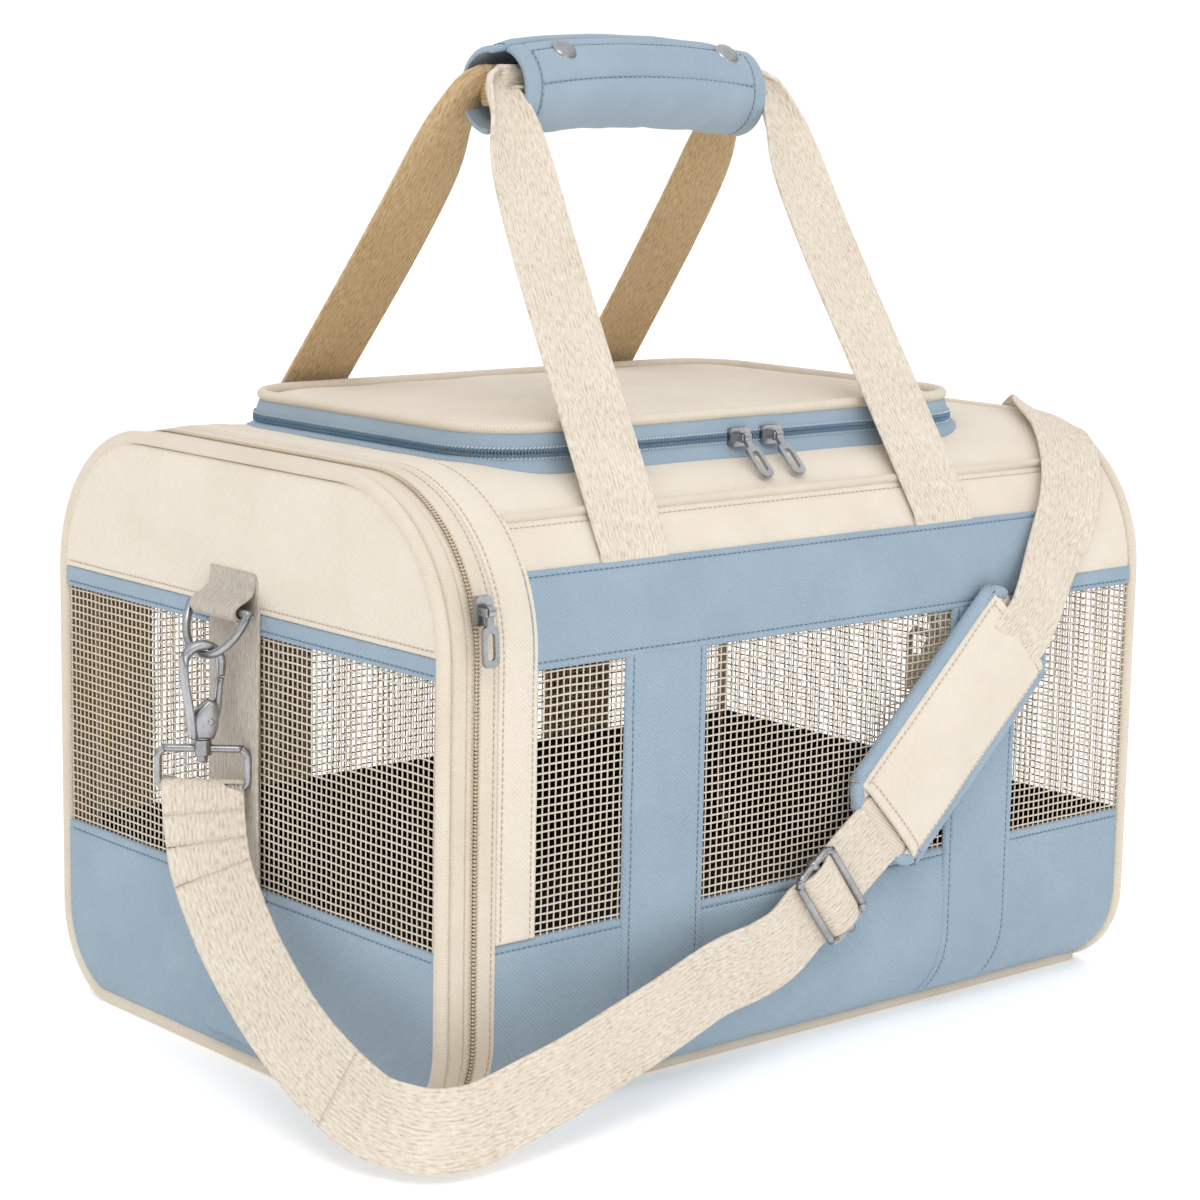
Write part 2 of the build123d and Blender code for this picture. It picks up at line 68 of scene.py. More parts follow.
HATCH = (-163.0, 158.0, 104.0, 38.0)                # x0, x1, half width, corner radius
Z_COIL, Z_LID = 294.2, 303.0
HINGE_LIFT = 8.0
STRAP_X = (-100.0, 112.0)
STRAP_W = 49.0
GRIP = (-74.0, 84.0)
GRIP_Z, GRIP_R = 457.5, 22.0
FEET = (-112.5, 88.5)
WEB, WEB_T = 40.0, 2.2


# ---- Wall of the bag ----
def wall(t, offset=0.0):
    """Y and Z at signed arc length t from the top centre line (-Y side negative), moved out by offset."""
    t = np.asarray(t, float)
    side = np.where(t < 0, -1.0, 1.0)
    d = np.abs(t)
    upper = np.clip((d - TOP_FLAT) / R_TOP, 0, pi / 2)
    lower = np.clip((d - T_LOW) / R_LOW, 0, pi / 2)
    y = np.minimum(d, TOP_FLAT) + R_TOP * np.sin(upper) - R_LOW * (1 - np.cos(lower))
    y = y - np.clip(d - T_FLOOR, 0, None)
    z = HEIGHT - R_TOP * (1 - np.cos(upper)) - np.clip(d - T_WALL, 0, T_LOW - T_WALL) - R_LOW * np.sin(lower)
    turn = upper + lower
    return side * (y + offset * np.sin(turn)), np.maximum(z + offset * np.cos(turn), 0.0)


def wall_t(z):
    """Arc length from the top centre to height z on the wall."""
    if z >= HEIGHT - R_TOP:
        return TOP_FLAT + R_TOP * np.arccos((z - HEIGHT + R_TOP) / R_TOP)
    if z >= R_LOW:
        return T_WALL + HEIGHT - R_TOP - z
    return T_LOW + R_LOW * np.arcsin((R_LOW - z) / R_LOW)


def side_t(y):
    """Arc length from the top centre to distance y from it, on the top or its rounded corner."""
    y = np.asarray(y, float)
    bend = np.clip((np.abs(y) - TOP_FLAT) / R_TOP, 0, 1)
    return np.sign(y) * (np.minimum(np.abs(y), TOP_FLAT) + R_TOP * np.arcsin(bend))


def half_width_at(z):
    """Half width of the section at height z."""
    top = HALF_WIDTH - R_TOP + np.sqrt(np.clip(R_TOP**2 - (z - HEIGHT + R_TOP)**2, 0, None))
    low = HALF_WIDTH - R_LOW + np.sqrt(np.clip(R_LOW**2 - (R_LOW - z)**2, 0, None))
    return np.where(z > HEIGHT - R_TOP, top, np.where(z < R_LOW, low, HALF_WIDTH))


T_RIDGE = TOP_FLAT + R_TOP * radians(132 - 90)
T_SILL, T_HEAD, T_BAND = wall_t(Z_SILL), wall_t(Z_HEAD), wall_t(Z_BAND)
T_PIPE = T_LOW + R_LOW * np.arccos((PIPE_Y - HALF_WIDTH + R_LOW) / R_LOW)
T_HINGE = wall_t(HINGE_LIFT)


# ---- Mesh building ----
def ripple(u, v, seed, length):
    """Smooth, repeatable unevenness of a cloth surface, about -1 to 1."""
    r = np.random.default_rng(seed)
    total = 0
    for k in range(7):
        turn, phase, size = r.uniform(0, pi), r.uniform(0, 2 * pi), length * r.uniform(0.6, 1.7)
        total = total + np.sin((u * cos(turn) + v * sin(turn)) * 2 * pi / size + phase)
    return total / 4


def stations(a, b, step, soft=2.0):
    """Rows from a to b, closer together beside both edges."""
    near = np.array([0, 0.1, 0.35, 0.8, 1.4]) * soft
    if b - a < 5 * soft:
        return np.linspace(a, b, 9)
    count = max(2, int(round((b - a - 4 * soft) / step)) + 1)
    return np.concatenate([a + near, np.linspace(a + 2.1 * soft, b - 2.1 * soft, count), (b - near)[::-1]])


def make(name, points, faces, uv=None, materials=(), face_material=None, smooth=True):
    mesh = bpy.data.meshes.new(name)
    points = np.asarray(points, float).reshape(-1, 3) * 0.001
    mesh.from_pydata(points.tolist(), [], [list(map(int, f)) for f in faces])
    for m in materials:
        mesh.materials.append(m)
    if face_material is not None:
        mesh.polygons.foreach_set("material_index", np.asarray(face_material, np.int32))
    if uv is not None:
        layer = mesh.uv_layers.new(name="UVMap")
        corner = np.zeros(len(mesh.loops), np.int32)
        mesh.loops.foreach_get("vertex_index", corner)
        layer.data.foreach_set("uv", np.asarray(uv, np.float32)[corner].ravel())
    if smooth:
        mesh.polygons.foreach_set("use_smooth", [True] * len(mesh.polygons))
    mesh.update()
    obj = bpy.data.objects.new(name, mesh)
    bpy.context.scene.collection.objects.link(obj)
    return obj


def fit(obj, body, slot_name, *nodes):
    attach(obj, body)
    if nodes:
        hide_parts(*nodes)
    return obj


def shell(outer, inner, uv, wrap=False):
    """Closed slab between two grids of points; wrap joins the last column to the first."""
    nu, nv = outer.shape[:2]
    index = np.arange(nu * nv).reshape(nu, nv)
    if wrap:
        index = np.concatenate([index, index[:1]])
    a, b, c, d = index[:-1, :-1], index[1:, :-1], index[1:, 1:], index[:-1, 1:]
    top = np.stack([a, b, c, d], -1).reshape(-1, 4)
    under = top[:, ::-1] + nu * nv
    if wrap:
        loops = [index[:, 0], index[::-1, -1]]
    else:
        loops = [np.concatenate([index[:, 0], index[-1, 1:], index[-2::-1, -1], index[0, -2::-1]])]
    rims = [np.stack([r[1:], r[:-1], r[:-1] + nu * nv, r[1:] + nu * nv], -1) for r in loops]
    faces = np.concatenate([top, under] + rims)
    kinds = np.concatenate([np.zeros(len(top)), np.ones(len(under)), np.zeros(sum(len(r) for r in rims))])
    points = np.concatenate([outer.reshape(-1, 3), inner.reshape(-1, 3)])
    return points, faces, np.concatenate([uv.reshape(-1, 2)] * 2), kinds


def edge_drop(u, v, us, vs, radius, skip=()):
    """How far the outer surface falls at a rounded edge."""
    gaps = {"u0": u - us[0], "u1": us[-1] - u, "v0": v - vs[0], "v1": vs[-1] - v}
    d = np.minimum.reduce([g for k, g in gaps.items() if k not in skip])
    near = np.clip(1 - d / radius, 0, 1)
    return radius * (1 - np.sqrt(np.clip(1 - near**2, 0, 1)))


class Beads:
    """Many small elongated beads in one mesh: stitches and zipper teeth."""

    def __init__(self):
        self.centres, self.axes = [], []

    def add(self, centre, long, wide, high):
        self.centres.append(np.asarray(centre, float))
        self.axes.append(np.stack([long, wide, high], 1))

    def build(self, name, body, material, slot_name, *nodes):
        centres, axes = np.concatenate(self.centres), np.concatenate(self.axes)
        unit = np.array([[1, 0, 0], [0.7, 0.7, 0], [0.7, 0, 0.8], [0.7, -0.7, 0],
                         [-0.7, 0.7, 0], [-0.7, 0, 0.8], [-0.7, -0.7, 0], [-1, 0, 0],
                         [0.7, 0, -0.8], [-0.7, 0, -0.8]])
        quads = [(1, 4, 5, 2), (2, 5, 6, 3), (3, 6, 9, 8), (8, 9, 4, 1)]
        tris = [(0, 1, 2), (0, 2, 3), (0, 3, 8), (0, 8, 1), (7, 5, 4), (7, 6, 5), (7, 9, 6), (7, 4, 9)]
        points = np.einsum("pk,nkc->npc", unit, axes) + centres[:, None, :]
        start = (np.arange(len(centres)) * len(unit))[:, None]
        faces = [f for q in quads for f in (start + np.array(q)).tolist()]
        faces += [f for q in tris for f in (start + np.array(q)).tolist()]
        obj = make(name, points, faces, materials=[material])
        return fit(obj, body, slot_name, *nodes)


threads = {}


def bead_row(body, kind, path, normals, pitch, size, side=0.0, lift=0.0, skew=0.0):
    """Beads along a path: size is half length, half width, half height; side and lift move the row."""
    path, normals = np.asarray(path, float), np.asarray(normals, float)
    step = np.linalg.norm(np.diff(path, axis=0), axis=1)
    along = np.concatenate([[0], np.cumsum(step)])
    count = int(along[-1] / pitch)
    if count < 1:
        return
    at = (np.arange(count) + 0.5) * along[-1] / count
    centre = np.stack([np.interp(at, along, path[:, k]) for k in range(3)], 1)
    ahead = np.stack([np.interp(at + 0.3, along, path[:, k]) for k in range(3)], 1)
    back = np.stack([np.interp(at - 0.3, along, path[:, k]) for k in range(3)], 1)
    tangent = ahead - back
    tangent /= np.linalg.norm(tangent, axis=1)[:, None]
    normal = np.stack([np.interp(at, along, normals[:, k]) for k in range(3)], 1)
    normal -= (normal * tangent).sum(1)[:, None] * tangent
    normal /= np.linalg.norm(normal, axis=1)[:, None]
    across = np.cross(normal, tangent)
    long = tangent * cos(skew) + across * sin(skew)
    wide = across * cos(skew) - tangent * sin(skew)
    spot = centre + across * side + normal * lift
    store = threads.setdefault((body, kind), Beads())
    store.add(spot, long * size[0], wide * size[1], normal * size[2])


STITCH = (1.15, 0.32, 0.26)


def stitch(body, path, normals, kind, side=0.0, lift=0.0):
    bead_row(body, kind, path, normals, 3.1, STITCH, side, lift)


def wall_normals(t):
    y0, z0 = wall(t, 0)
    y1, z1 = wall(t, 10)
    n = np.stack([np.zeros_like(y0), y1 - y0, z1 - z0 + 1e-9], -1)
    return n / np.linalg.norm(n, axis=-1)[..., None]


def patch(name, body, slot_name, nodes, x, t, outer, inner, cloth, lining, thread,
          puff=0.0, crease=0.25, seed=1, seams=(), step=4.0, soft=1.6, skip=()):
    """A sewn panel on the bag's wall over the ranges x and t; seams are ("x" or "t", place) stitch lines."""
    us, vs = stations(x[0], x[1], step), stations(t[0], t[1], step)
    for kind, place in seams:
        extra = place + np.array([-1.2, -0.6, 0, 0.6, 1.2])
        if kind == "x":
            us = np.unique(np.concatenate([us, extra]).round(4))
        else:
            vs = np.unique(np.concatenate([vs, extra]).round(4))
    u, v = np.meshgrid(us, vs, indexing="ij")
    rise = ripple(u, v, seed, 70) * crease
    fu, fv = (u - us[0]) / (us[-1] - us[0]), (v - vs[0]) / (vs[-1] - vs[0])
    shape = (np.clip(np.sin(pi * fu), 0, 1) * np.clip(np.sin(pi * fv), 0, 1))**0.6
    off = outer + rise * np.clip(shape * 3, 0, 1) + puff * shape - edge_drop(u, v, us, vs, soft, skip)
    for kind, place in seams:
        gap = (u if kind == "x" else v) - place
        off = off - 0.45 * np.exp(-(gap / 0.55)**2) + 0.25 * np.exp(-((np.abs(gap) - 1.6) / 0.9)**2)
    off = np.maximum(off, inner + 0.25)
    y, z = wall(v, off)
    iy, iz = wall(v, np.full_like(v, inner))
    points, faces, uv, kinds = shell(np.stack([u, y, z], -1), np.stack([u, iy, iz], -1), np.stack([u, v], -1))
    obj = make(name, points, faces, uv, [cloth, lining], kinds)
    fit(obj, body, slot_name, *nodes)
    for kind, place in seams:
        lift = outer - 0.15
        if kind == "t":
            line = np.arange(x[0] + 1.5, x[1] - 1.5, 2.0)
            tt = np.full_like(line, place)
        else:
            tt = np.arange(t[0] + 1.5, t[1] - 1.5, 2.0)
            line = np.full_like(tt, place)
        near_u, near_v = (line - x[0]) / (x[1] - x[0]), (tt - t[0]) / (t[1] - t[0])
        bulge = (np.clip(np.sin(pi * near_u), 0, 1) * np.clip(np.sin(pi * near_v), 0, 1))**0.6
        high = lift + ripple(line, tt, seed, 70) * crease * np.clip(bulge * 3, 0, 1) + puff * bulge
        yy, zz = wall(tt, high)
        stitch(body, np.stack([line, yy, zz], -1), wall_normals(tt), thread)
    return obj


def end_patch(name, body, slot_name, nodes, x, facing, z, outer, inner, cloth, lining, thread,
              puff=0.0, crease=0.3, seed=1, seams=(), inset=4.6, width=None):
    """A sewn panel on a flat end; facing is -1 for the door, +1 for the fixed end; seams are heights."""
    us, vs = stations(-1, 1, 0.035, 0.012), stations(z[0], z[1], 4.0)
    extra = [s + np.array([-1.2, -0.6, 0, 0.6, 1.2]) for s in seams]
    vs = np.unique(np.concatenate([vs] + extra).round(4))
    u, v = np.meshgrid(us, vs, indexing="ij")
    half = half_width_at(v) - inset if width is None else np.full_like(v, width / 2)
    y = u * half
    shape = (np.cos(u * pi / 2) * np.clip(np.sin(pi * (v - z[0]) / (z[1] - z[0])), 0, 1))**0.6
    off = outer + puff * shape + ripple(y, v, seed, 80) * crease * np.clip(3 * shape, 0, 1)
    off = off - edge_drop(y, v, [-400], vs, 1.4, ("u0", "u1"))
    for s in seams:
        off = off - 0.45 * np.exp(-((v - s) / 0.55)**2) + 0.25 * np.exp(-((np.abs(v - s) - 1.6) / 0.9)**2)
    out = np.stack([x + facing * off, y, v], -1)
    back = np.stack([np.full_like(y, x + facing * inner), y, v], -1)
    points, faces, uv, kinds = shell(out, back, np.stack([y, v], -1))
    obj = make(name, points, faces, uv, [cloth, lining], kinds)
    fit(obj, body, slot_name, *nodes)
    for s in seams:
        edge = float(half_width_at(np.array(s))) - inset if width is None else width / 2
        line = np.arange(-edge + 2, edge - 2, 2.0)
        bulge = (np.cos(line / edge * pi / 2) * max(sin(pi * (s - z[0]) / (z[1] - z[0])), 0))**0.6
        high = outer + puff * bulge + ripple(line, s, seed, 80) * crease * np.clip(3 * bulge, 0, 1) - 0.15
        path = np.stack([x + facing * high, line, np.full_like(line, s)], -1)
        stitch(body, path, np.tile([facing, 0, 0], (len(line), 1)), thread)
    return obj


def smooth_line(points, step, closed=False):
    """Catmull-Rom line through rows of numbers, sampled about every step of its first three."""
    p = np.asarray(points, float)
    ends = [p[-1:], p, p[:2]] if closed else [2 * p[:1] - p[1:2], p, 2 * p[-1:] - p[-2:-1]]
    q = np.concatenate(ends)
    rows = []
    for k in range(1, len(q) - 2):
        a, b, c, d = q[k - 1:k + 3]
        count = max(2, int(round(np.linalg.norm(c[:3] - b[:3]) / step)))
        s = np.linspace(0, 1, count, endpoint=False)[:, None]
        rows.append(0.5 * (2 * b + (c - a) * s + (2 * a - 5 * b + 4 * c - d) * s**2
                           + (3 * b - a - 3 * c + d) * s**3))
    return np.concatenate(rows + ([] if closed else [p[-1:]]))


def sweep(path, normals, widths, thicks, power=4.0, around=18, cup=None, closed=False):
    """Loft of rounded sections along a path; cup bends the section across its width, in radians."""
    path, normals = np.asarray(path, float), np.asarray(normals, float)
    n = len(path)
    if closed:
        tangent = np.roll(path, -1, 0) - np.roll(path, 1, 0)
    else:
        tangent = np.gradient(path, axis=0)
    tangent /= np.linalg.norm(tangent, axis=1)[:, None]
    normal = normals - (normals * tangent).sum(1)[:, None] * tangent
    normal /= np.linalg.norm(normal, axis=1)[:, None]
    across = np.cross(normal, tangent)
    widths, thicks = np.broadcast_to(widths, n), np.broadcast_to(thicks, n)
    angle = np.arange(around) / around * 2 * pi
    ca, sa = np.cos(angle), np.sin(angle)
    ox = np.sign(ca) * np.abs(ca)**(2 / power)
    oy = np.sign(sa) * np.abs(sa)**(2 / power)
    w = widths[:, None] / 2 * ox
    h = thicks[:, None] / 2 * oy
    if cup is not None:
        bend = np.broadcast_to(cup, n)[:, None]
        bend = np.where(np.abs(bend) < 1e-3, 1e-3, bend)
        radius = widths[:, None] / bend
        theta = w / radius
        w, h = (radius - h) * np.sin(theta), radius - (radius - h) * np.cos(theta)
    points = path[:, None] + across[:, None] * w[..., None] + normal[:, None] * h[..., None]
    along = np.concatenate([[0], np.cumsum(np.linalg.norm(np.diff(path, axis=0), axis=1))])
    uv = np.stack([np.repeat(along, around), np.tile(ox, n) * np.repeat(widths / 2, around)], -1)
    ring = np.arange(around)
    rows = np.arange(n if closed else n - 1)[:, None] * around
    after = (np.arange(n if closed else n - 1)[:, None] + 1) % n * around
    nxt = (ring + 1) % around
    faces = np.stack([rows + ring, rows + nxt, after + nxt, after + ring], -1).reshape(-1, 4).tolist()
    if not closed:
        faces += [ring[::-1].tolist(), (ring + (n - 1) * around).tolist()]
    return points.reshape(-1, 3), faces, uv


def cord_mesh(name, body, slot_name, nodes, path, radius, material, closed=False, around=12):
    path = np.asarray(path, float)
    middle = path.mean(0)
    normals = np.tile(np.linalg.svd(path - middle)[2][2], (len(path), 1))
    points, faces, uv = sweep(path, normals, 2 * radius, 2 * radius, 2.0, around, closed=closed)
    return fit(make(name, points, faces, uv, [material]), body, slot_name, *nodes)


# ---- Materials ----
def linear(code):
    """Linear colour from a six-digit sRGB code."""
    values = [int(code[i:i + 2], 16) / 255 for i in (0, 2, 4)]
    return tuple(v / 12.92 if v < 0.04045 else ((v + 0.055) / 1.055)**2.4 for v in values) + (1.0,)


class Paint:
    """A node material with a few helpers for sums of waves and noise."""

    def __init__(self, name, roughness=0.85, metallic=0.0, sheen=0.0, specular=0.3):
        self.material = bpy.data.materials.new(name)
        self.material.use_nodes = True
        self.tree = self.material.node_tree
        self.shader = self.tree.nodes["Principled BSDF"]
        self.shader.inputs["Roughness"].default_value = roughness
        self.shader.inputs["Metallic"].default_value = metallic
        self.shader.inputs["Specular IOR Level"].default_value = specular
        self.shader.inputs["Sheen Weight"].default_value = sheen
        self.shader.inputs["Sheen Roughness"].default_value = 0.5

    def link(self, value, socket):
        if hasattr(value, "links"):
            self.tree.links.new(value, socket)
        else:
            socket.default_value = value

    def math(self, kind, a, b=0.0):
        node = self.tree.nodes.new("ShaderNodeMath")
        node.operation = kind
        self.link(a, node.inputs[0])
        self.link(b, node.inputs[1])
        return node.outputs[0]

    def uv(self):
        node = self.tree.nodes.new("ShaderNodeUVMap")
        split = self.tree.nodes.new("ShaderNodeSeparateXYZ")
        self.tree.links.new(node.outputs[0], split.inputs[0])
        return node.outputs[0], split.outputs[0], split.outputs[1]

    def place(self):
        node = self.tree.nodes.new("ShaderNodeTexCoord")
        split = self.tree.nodes.new("ShaderNodeSeparateXYZ")
        self.tree.links.new(node.outputs["Object"], split.inputs[0])
        return node.outputs["Object"], split.outputs[0], split.outputs[1], split.outputs[2]

    def noise(self, vector, scale, detail=2.0, rough=0.5):
        node = self.tree.nodes.new("ShaderNodeTexNoise")
        node.inputs["Scale"].default_value = scale
        node.inputs["Detail"].default_value = detail
        node.inputs["Roughness"].default_value = rough
        self.link(vector, node.inputs["Vector"])
        return node.outputs["Fac"]

    def wave(self, value, period):
        return self.math("SINE", self.math("MULTIPLY", value, 2 * pi / period))

    def colour(self, factor, *stops):
        """Colour ramp: stops are (place, code)."""
        node = self.tree.nodes.new("ShaderNodeValToRGB")
        for k, (at, code) in enumerate(stops):
            e = node.color_ramp.elements[k] if k < 2 else node.color_ramp.elements.new(at)
            e.position = at
            e.color = linear(code)
        self.link(factor, node.inputs[0])
        self.tree.links.new(node.outputs[0], self.shader.inputs["Base Color"])

    def bump(self, height, strength, distance):
        node = self.tree.nodes.new("ShaderNodeBump")
        node.inputs["Strength"].default_value = strength
        node.inputs["Distance"].default_value = distance
        self.link(height, node.inputs["Height"])
        self.tree.links.new(node.outputs[0], self.shader.inputs["Normal"])

    def roughness(self, factor, low, high):
        node = self.tree.nodes.new("ShaderNodeMapRange")
        node.inputs["To Min"].default_value = low
        node.inputs["To Max"].default_value = high
        self.link(factor, node.inputs["Value"])
        self.tree.links.new(node.outputs[0], self.shader.inputs["Roughness"])


def twill(name, dark, mid, light, pitch=1.5, sheen=0.12):
    """Canvas twill: fine diagonal ribs broken up by uneven yarns, over soft wear and dust."""
    p = Paint(name, 0.88, sheen=sheen, specular=0.25)
    vector, u, v = p.uv()
    warp = p.math("MULTIPLY", p.noise(vector, 0.09, 3.0), 2.2)
    diagonal = p.math("ADD", p.math("ADD", u, v), warp)
    rib = p.wave(diagonal, pitch * 1.414)
    yarn = p.math("MULTIPLY", p.wave(p.math("SUBTRACT", u, v), pitch * 0.9), 0.35)
    grain = p.noise(vector, 1.3, 2.0, 0.6)
    cloudy = p.noise(vector, 0.02, 4.0, 0.55)
    height = p.math("ADD", p.math("ADD", rib, yarn), p.math("MULTIPLY", grain, 1.8))
    tone = p.math("ADD", p.math("MULTIPLY", height, 0.06), p.math("MULTIPLY", cloudy, 0.45))
    tone = p.math("ADD", tone, 0.22)
    p.colour(tone, (0.12, dark), (0.5, mid), (0.88, light))
    p.bump(height, 0.4, 0.0003)
    p.roughness(cloudy, 0.78, 0.95)
    return p.material


def webbing(name, dark, mid, light, rib=2.1, sheen=0.1):
    """Heavy cotton webbing: ribs run along it, each one a row of small slanted stitches."""
    p = Paint(name, 0.9, sheen=sheen, specular=0.25)
    vector, u, v = p.uv()
    sway = p.math("MULTIPLY", p.noise(vector, 0.12, 2.0), 2.0)
    ribs = p.wave(p.math("ADD", v, sway), rib)
    join = p.tree.nodes.new("ShaderNodeCombineXYZ")
    p.link(p.math("MULTIPLY", u, 0.28), join.inputs[0])
    p.link(p.math("ADD", v, p.math("MULTIPLY", u, 0.05)), join.inputs[1])
    dashes = p.noise(join.outputs[0], 0.85, 2.0, 0.55)
    grain = p.noise(vector, 1.6, 2.0, 0.6)
    height = p.math("ADD", p.math("MULTIPLY", ribs, 0.25), p.math("MULTIPLY", dashes, 4.2))
    height = p.math("ADD", height, p.math("MULTIPLY", grain, 0.9))
    cloudy = p.noise(vector, 0.03, 3.0)
    tone = p.math("ADD", p.math("MULTIPLY", height, 0.2), p.math("MULTIPLY", cloudy, 0.2))
    tone = p.math("SUBTRACT", tone, 0.11)
    p.colour(tone, (0.18, dark), (0.45, mid), (0.75, light))
    p.bump(height, 0.6, 0.00045)
    return p.material


def solid_cloth(name, dark, light, scale=900.0, sheen=0.1):
    """Plain cloth for small pieces, by place in the object."""
    p = Paint(name, 0.9, sheen=sheen, specular=0.25)
    vector, x, y, z = p.place()
    grain = p.noise(vector, scale, 3.0, 0.6)
    broad = p.noise(vector, 18.0, 2.0)
    tone = p.math("ADD", p.math("MULTIPLY", grain, 0.6), p.math("MULTIPLY", broad, 0.4))
    p.colour(tone, (0.3, dark), (0.7, light))
    p.bump(grain, 0.5, 0.0003)
    return p.material


def metal(name, dark, light, roughness=0.28):
    """Plated zinc, brushed and slightly worn."""
    p = Paint(name, roughness, 1.0, specular=0.5)
    vector, x, y, z = p.place()
    brushed = p.noise(vector, 700.0, 2.0, 0.7)
    broad = p.noise(vector, 60.0, 3.0, 0.6)
    p.colour(p.math("ADD", p.math("MULTIPLY", brushed, 0.3), p.math("MULTIPLY", broad, 0.7)),
             (0.3, dark), (0.7, light))
    p.roughness(broad, roughness - 0.06, roughness + 0.16)
    p.bump(brushed, 0.12, 0.0001)
    return p.material


beige = twill("beige_twill", "D2C6B4", "E6DBCB", "F2EADF")
beige_trim = twill("beige_trim_twill", "CBBDA8", "E1D5C3", "EEE5D8", pitch=1.0)
blue = twill("blue_twill", "8296A7", "98ABBA", "AEBFCB", sheen=0.16)
blue_soft = twill("blue_binding_twill", "8499A9", "9CAFBE", "B4C3CF", pitch=1.0, sheen=0.16)
dark_lining = twill("dark_lining", "0C0A08", "15110D", "1E1914", sheen=0.02)
tan_lining = twill("tan_lining", "8A6A42", "A98757", "BC9C6E", sheen=0.05)
strap_web = webbing("cream_webbing", "B3A28A", "DDD0BE", "F1E9DD")
handle_web = webbing("cream_handle_webbing", "B3A28A", "DFD2BF", "F1E9DD")
rear_web = webbing("shaded_handle_webbing", "94794F", "C4A87F", "DAC29C")
grey_web = webbing("grey_tab_webbing", "9A9082", "BDB4A7", "D2CABF")
net_thread = solid_cloth("mesh_thread", "D0C2AC", "EDE3D4")
tan_thread = solid_cloth("tan_thread", "B3A089", "CBBBA5")
blue_thread = solid_cloth("blue_thread", "566F84", "6F889C")
pale_blue_thread = solid_cloth("pale_blue_thread", "B9CBD8", "DCE6EE")
navy_coil = solid_cloth("zip_blue_coil", "5E7D97", "86A3B9")
beige_coil = solid_cloth("beige_coil", "C6B599", "E0D3BE")
gunmetal = metal("gunmetal", "86878A", "BEBFC1", 0.22)
bright_steel = metal("bright_steel", "85888C", "B4B7BA", 0.22)
board_grey = solid_cloth("board_grey", "3A342D", "4A433A", 300.0)
THREADS = {"tan": tan_thread, "blue": blue_thread, "pale_blue": pale_blue_thread, "navy_coil": navy_coil,
           "beige_coil": beige_coil}
THREAD_SLOTS = {"tan": "beige_fabric", "blue": "blue_fabric", "pale_blue": "zipper", "navy_coil": "zipper",
                "beige_coil": "zipper"}


# ---- Camera, floor and light ----
def camera():
    yaw, pitch, roll = -0.713, 0.173, 0.018
    back = Vector((sin(yaw) * cos(pitch), -cos(yaw) * cos(pitch), sin(pitch)))
    right = Vector((cos(yaw), sin(yaw), 0))
    up = back.cross(right)
    r, u = cos(roll) * right + sin(roll) * up, -sin(roll) * right + cos(roll) * up
    data = bpy.data.cameras.new("camera")
    data.lens, data.sensor_width = 90.26, 36.0
    data.clip_end = 50
    obj = bpy.data.objects.new("camera", data)
    place = Matrix((r, u, back)).transposed().to_4x4()
    place.translation = Vector((-0.9910, -1.1393, 0.4626))
    obj.matrix_world = place
    bpy.context.scene.collection.objects.link(obj)
    bpy.context.scene.camera = obj


def light(name, place, aim, size, power, colour=(1, 1, 1)):
    data = bpy.data.lights.new(name, "AREA")
    data.shape, data.size, data.energy, data.color = "DISK", size, power, colour
    obj = bpy.data.objects.new(name, data)
    obj.location = place
    obj.rotation_euler = (Vector(aim) - Vector(place)).to_track_quat("-Z", "Y").to_euler()
    bpy.context.scene.collection.objects.link(obj)


def studio():
    size = 9000
    floor = make("floor",
                 [(-size, -size, -0.2), (size, -size, -0.2), (size, size, -0.2), (-size, size, -0.2)],
                 [(0, 1, 2, 3)])
    p = Paint("pale_floor", 0.7, specular=0.1)
    vector, x, y, z = p.place()
    p.colour(p.noise(vector, 3.0), (0.0, "FDFDFD"), (1.0, "FFFFFF"))
    p.shader.inputs["Emission Color"].default_value = (1, 1, 1, 1)
    p.shader.inputs["Emission Strength"].default_value = 0.22
    floor.data.materials.append(p.material)
    world = bpy.data.worlds.new("studio")
    bpy.context.scene.world = world
    world.use_nodes = True
    tree = world.node_tree
    background = tree.nodes["Background"]
    background.inputs["Strength"].default_value = 1.06
    where = tree.nodes.new("ShaderNodeTexCoord")
    split = tree.nodes.new("ShaderNodeSeparateXYZ")
    ramp = tree.nodes.new("ShaderNodeValToRGB")
    for k, (at, grey) in enumerate(((0.46, 0.66), (0.53, 0.38), (0.66, 0.68), (0.8, 1.02))):
        e = ramp.color_ramp.elements[k] if k < 2 else ramp.color_ramp.elements.new(at)
        e.position, e.color = at, (grey, grey, grey * 1.01, 1)
    tree.links.new(where.outputs["Generated"], split.inputs[0])
    half = tree.nodes.new("ShaderNodeMapRange")
    half.inputs["From Min"].default_value = -1.0
    tree.links.new(split.outputs[2], half.inputs["Value"])
    tree.links.new(half.outputs[0], ramp.inputs[0])
    seen = tree.nodes.new("ShaderNodeLightPath")
    mix = tree.nodes.new("ShaderNodeMixRGB")
    mix.inputs[2].default_value = (1.0, 1.0, 1.0, 1)
    tree.links.new(seen.outputs["Is Camera Ray"], mix.inputs[0])
    tree.links.new(ramp.outputs[0], mix.inputs[1])
    tree.links.new(mix.outputs[0], background.inputs["Color"])
    light("key", (-1.5, -1.7, 2.6), (0, 0, 0.15), 1.5, 17)
    light("front_fill", (-0.2, -2.6, 0.8), (0, 0, 0.15), 1.6, 5)
    light("side_fill", (-2.6, -0.2, 0.9), (0, 0, 0.15), 1.4, 1.5)
    bpy.context.scene.view_settings.view_transform = "Standard"
    bpy.context.scene.view_settings.look = "None"


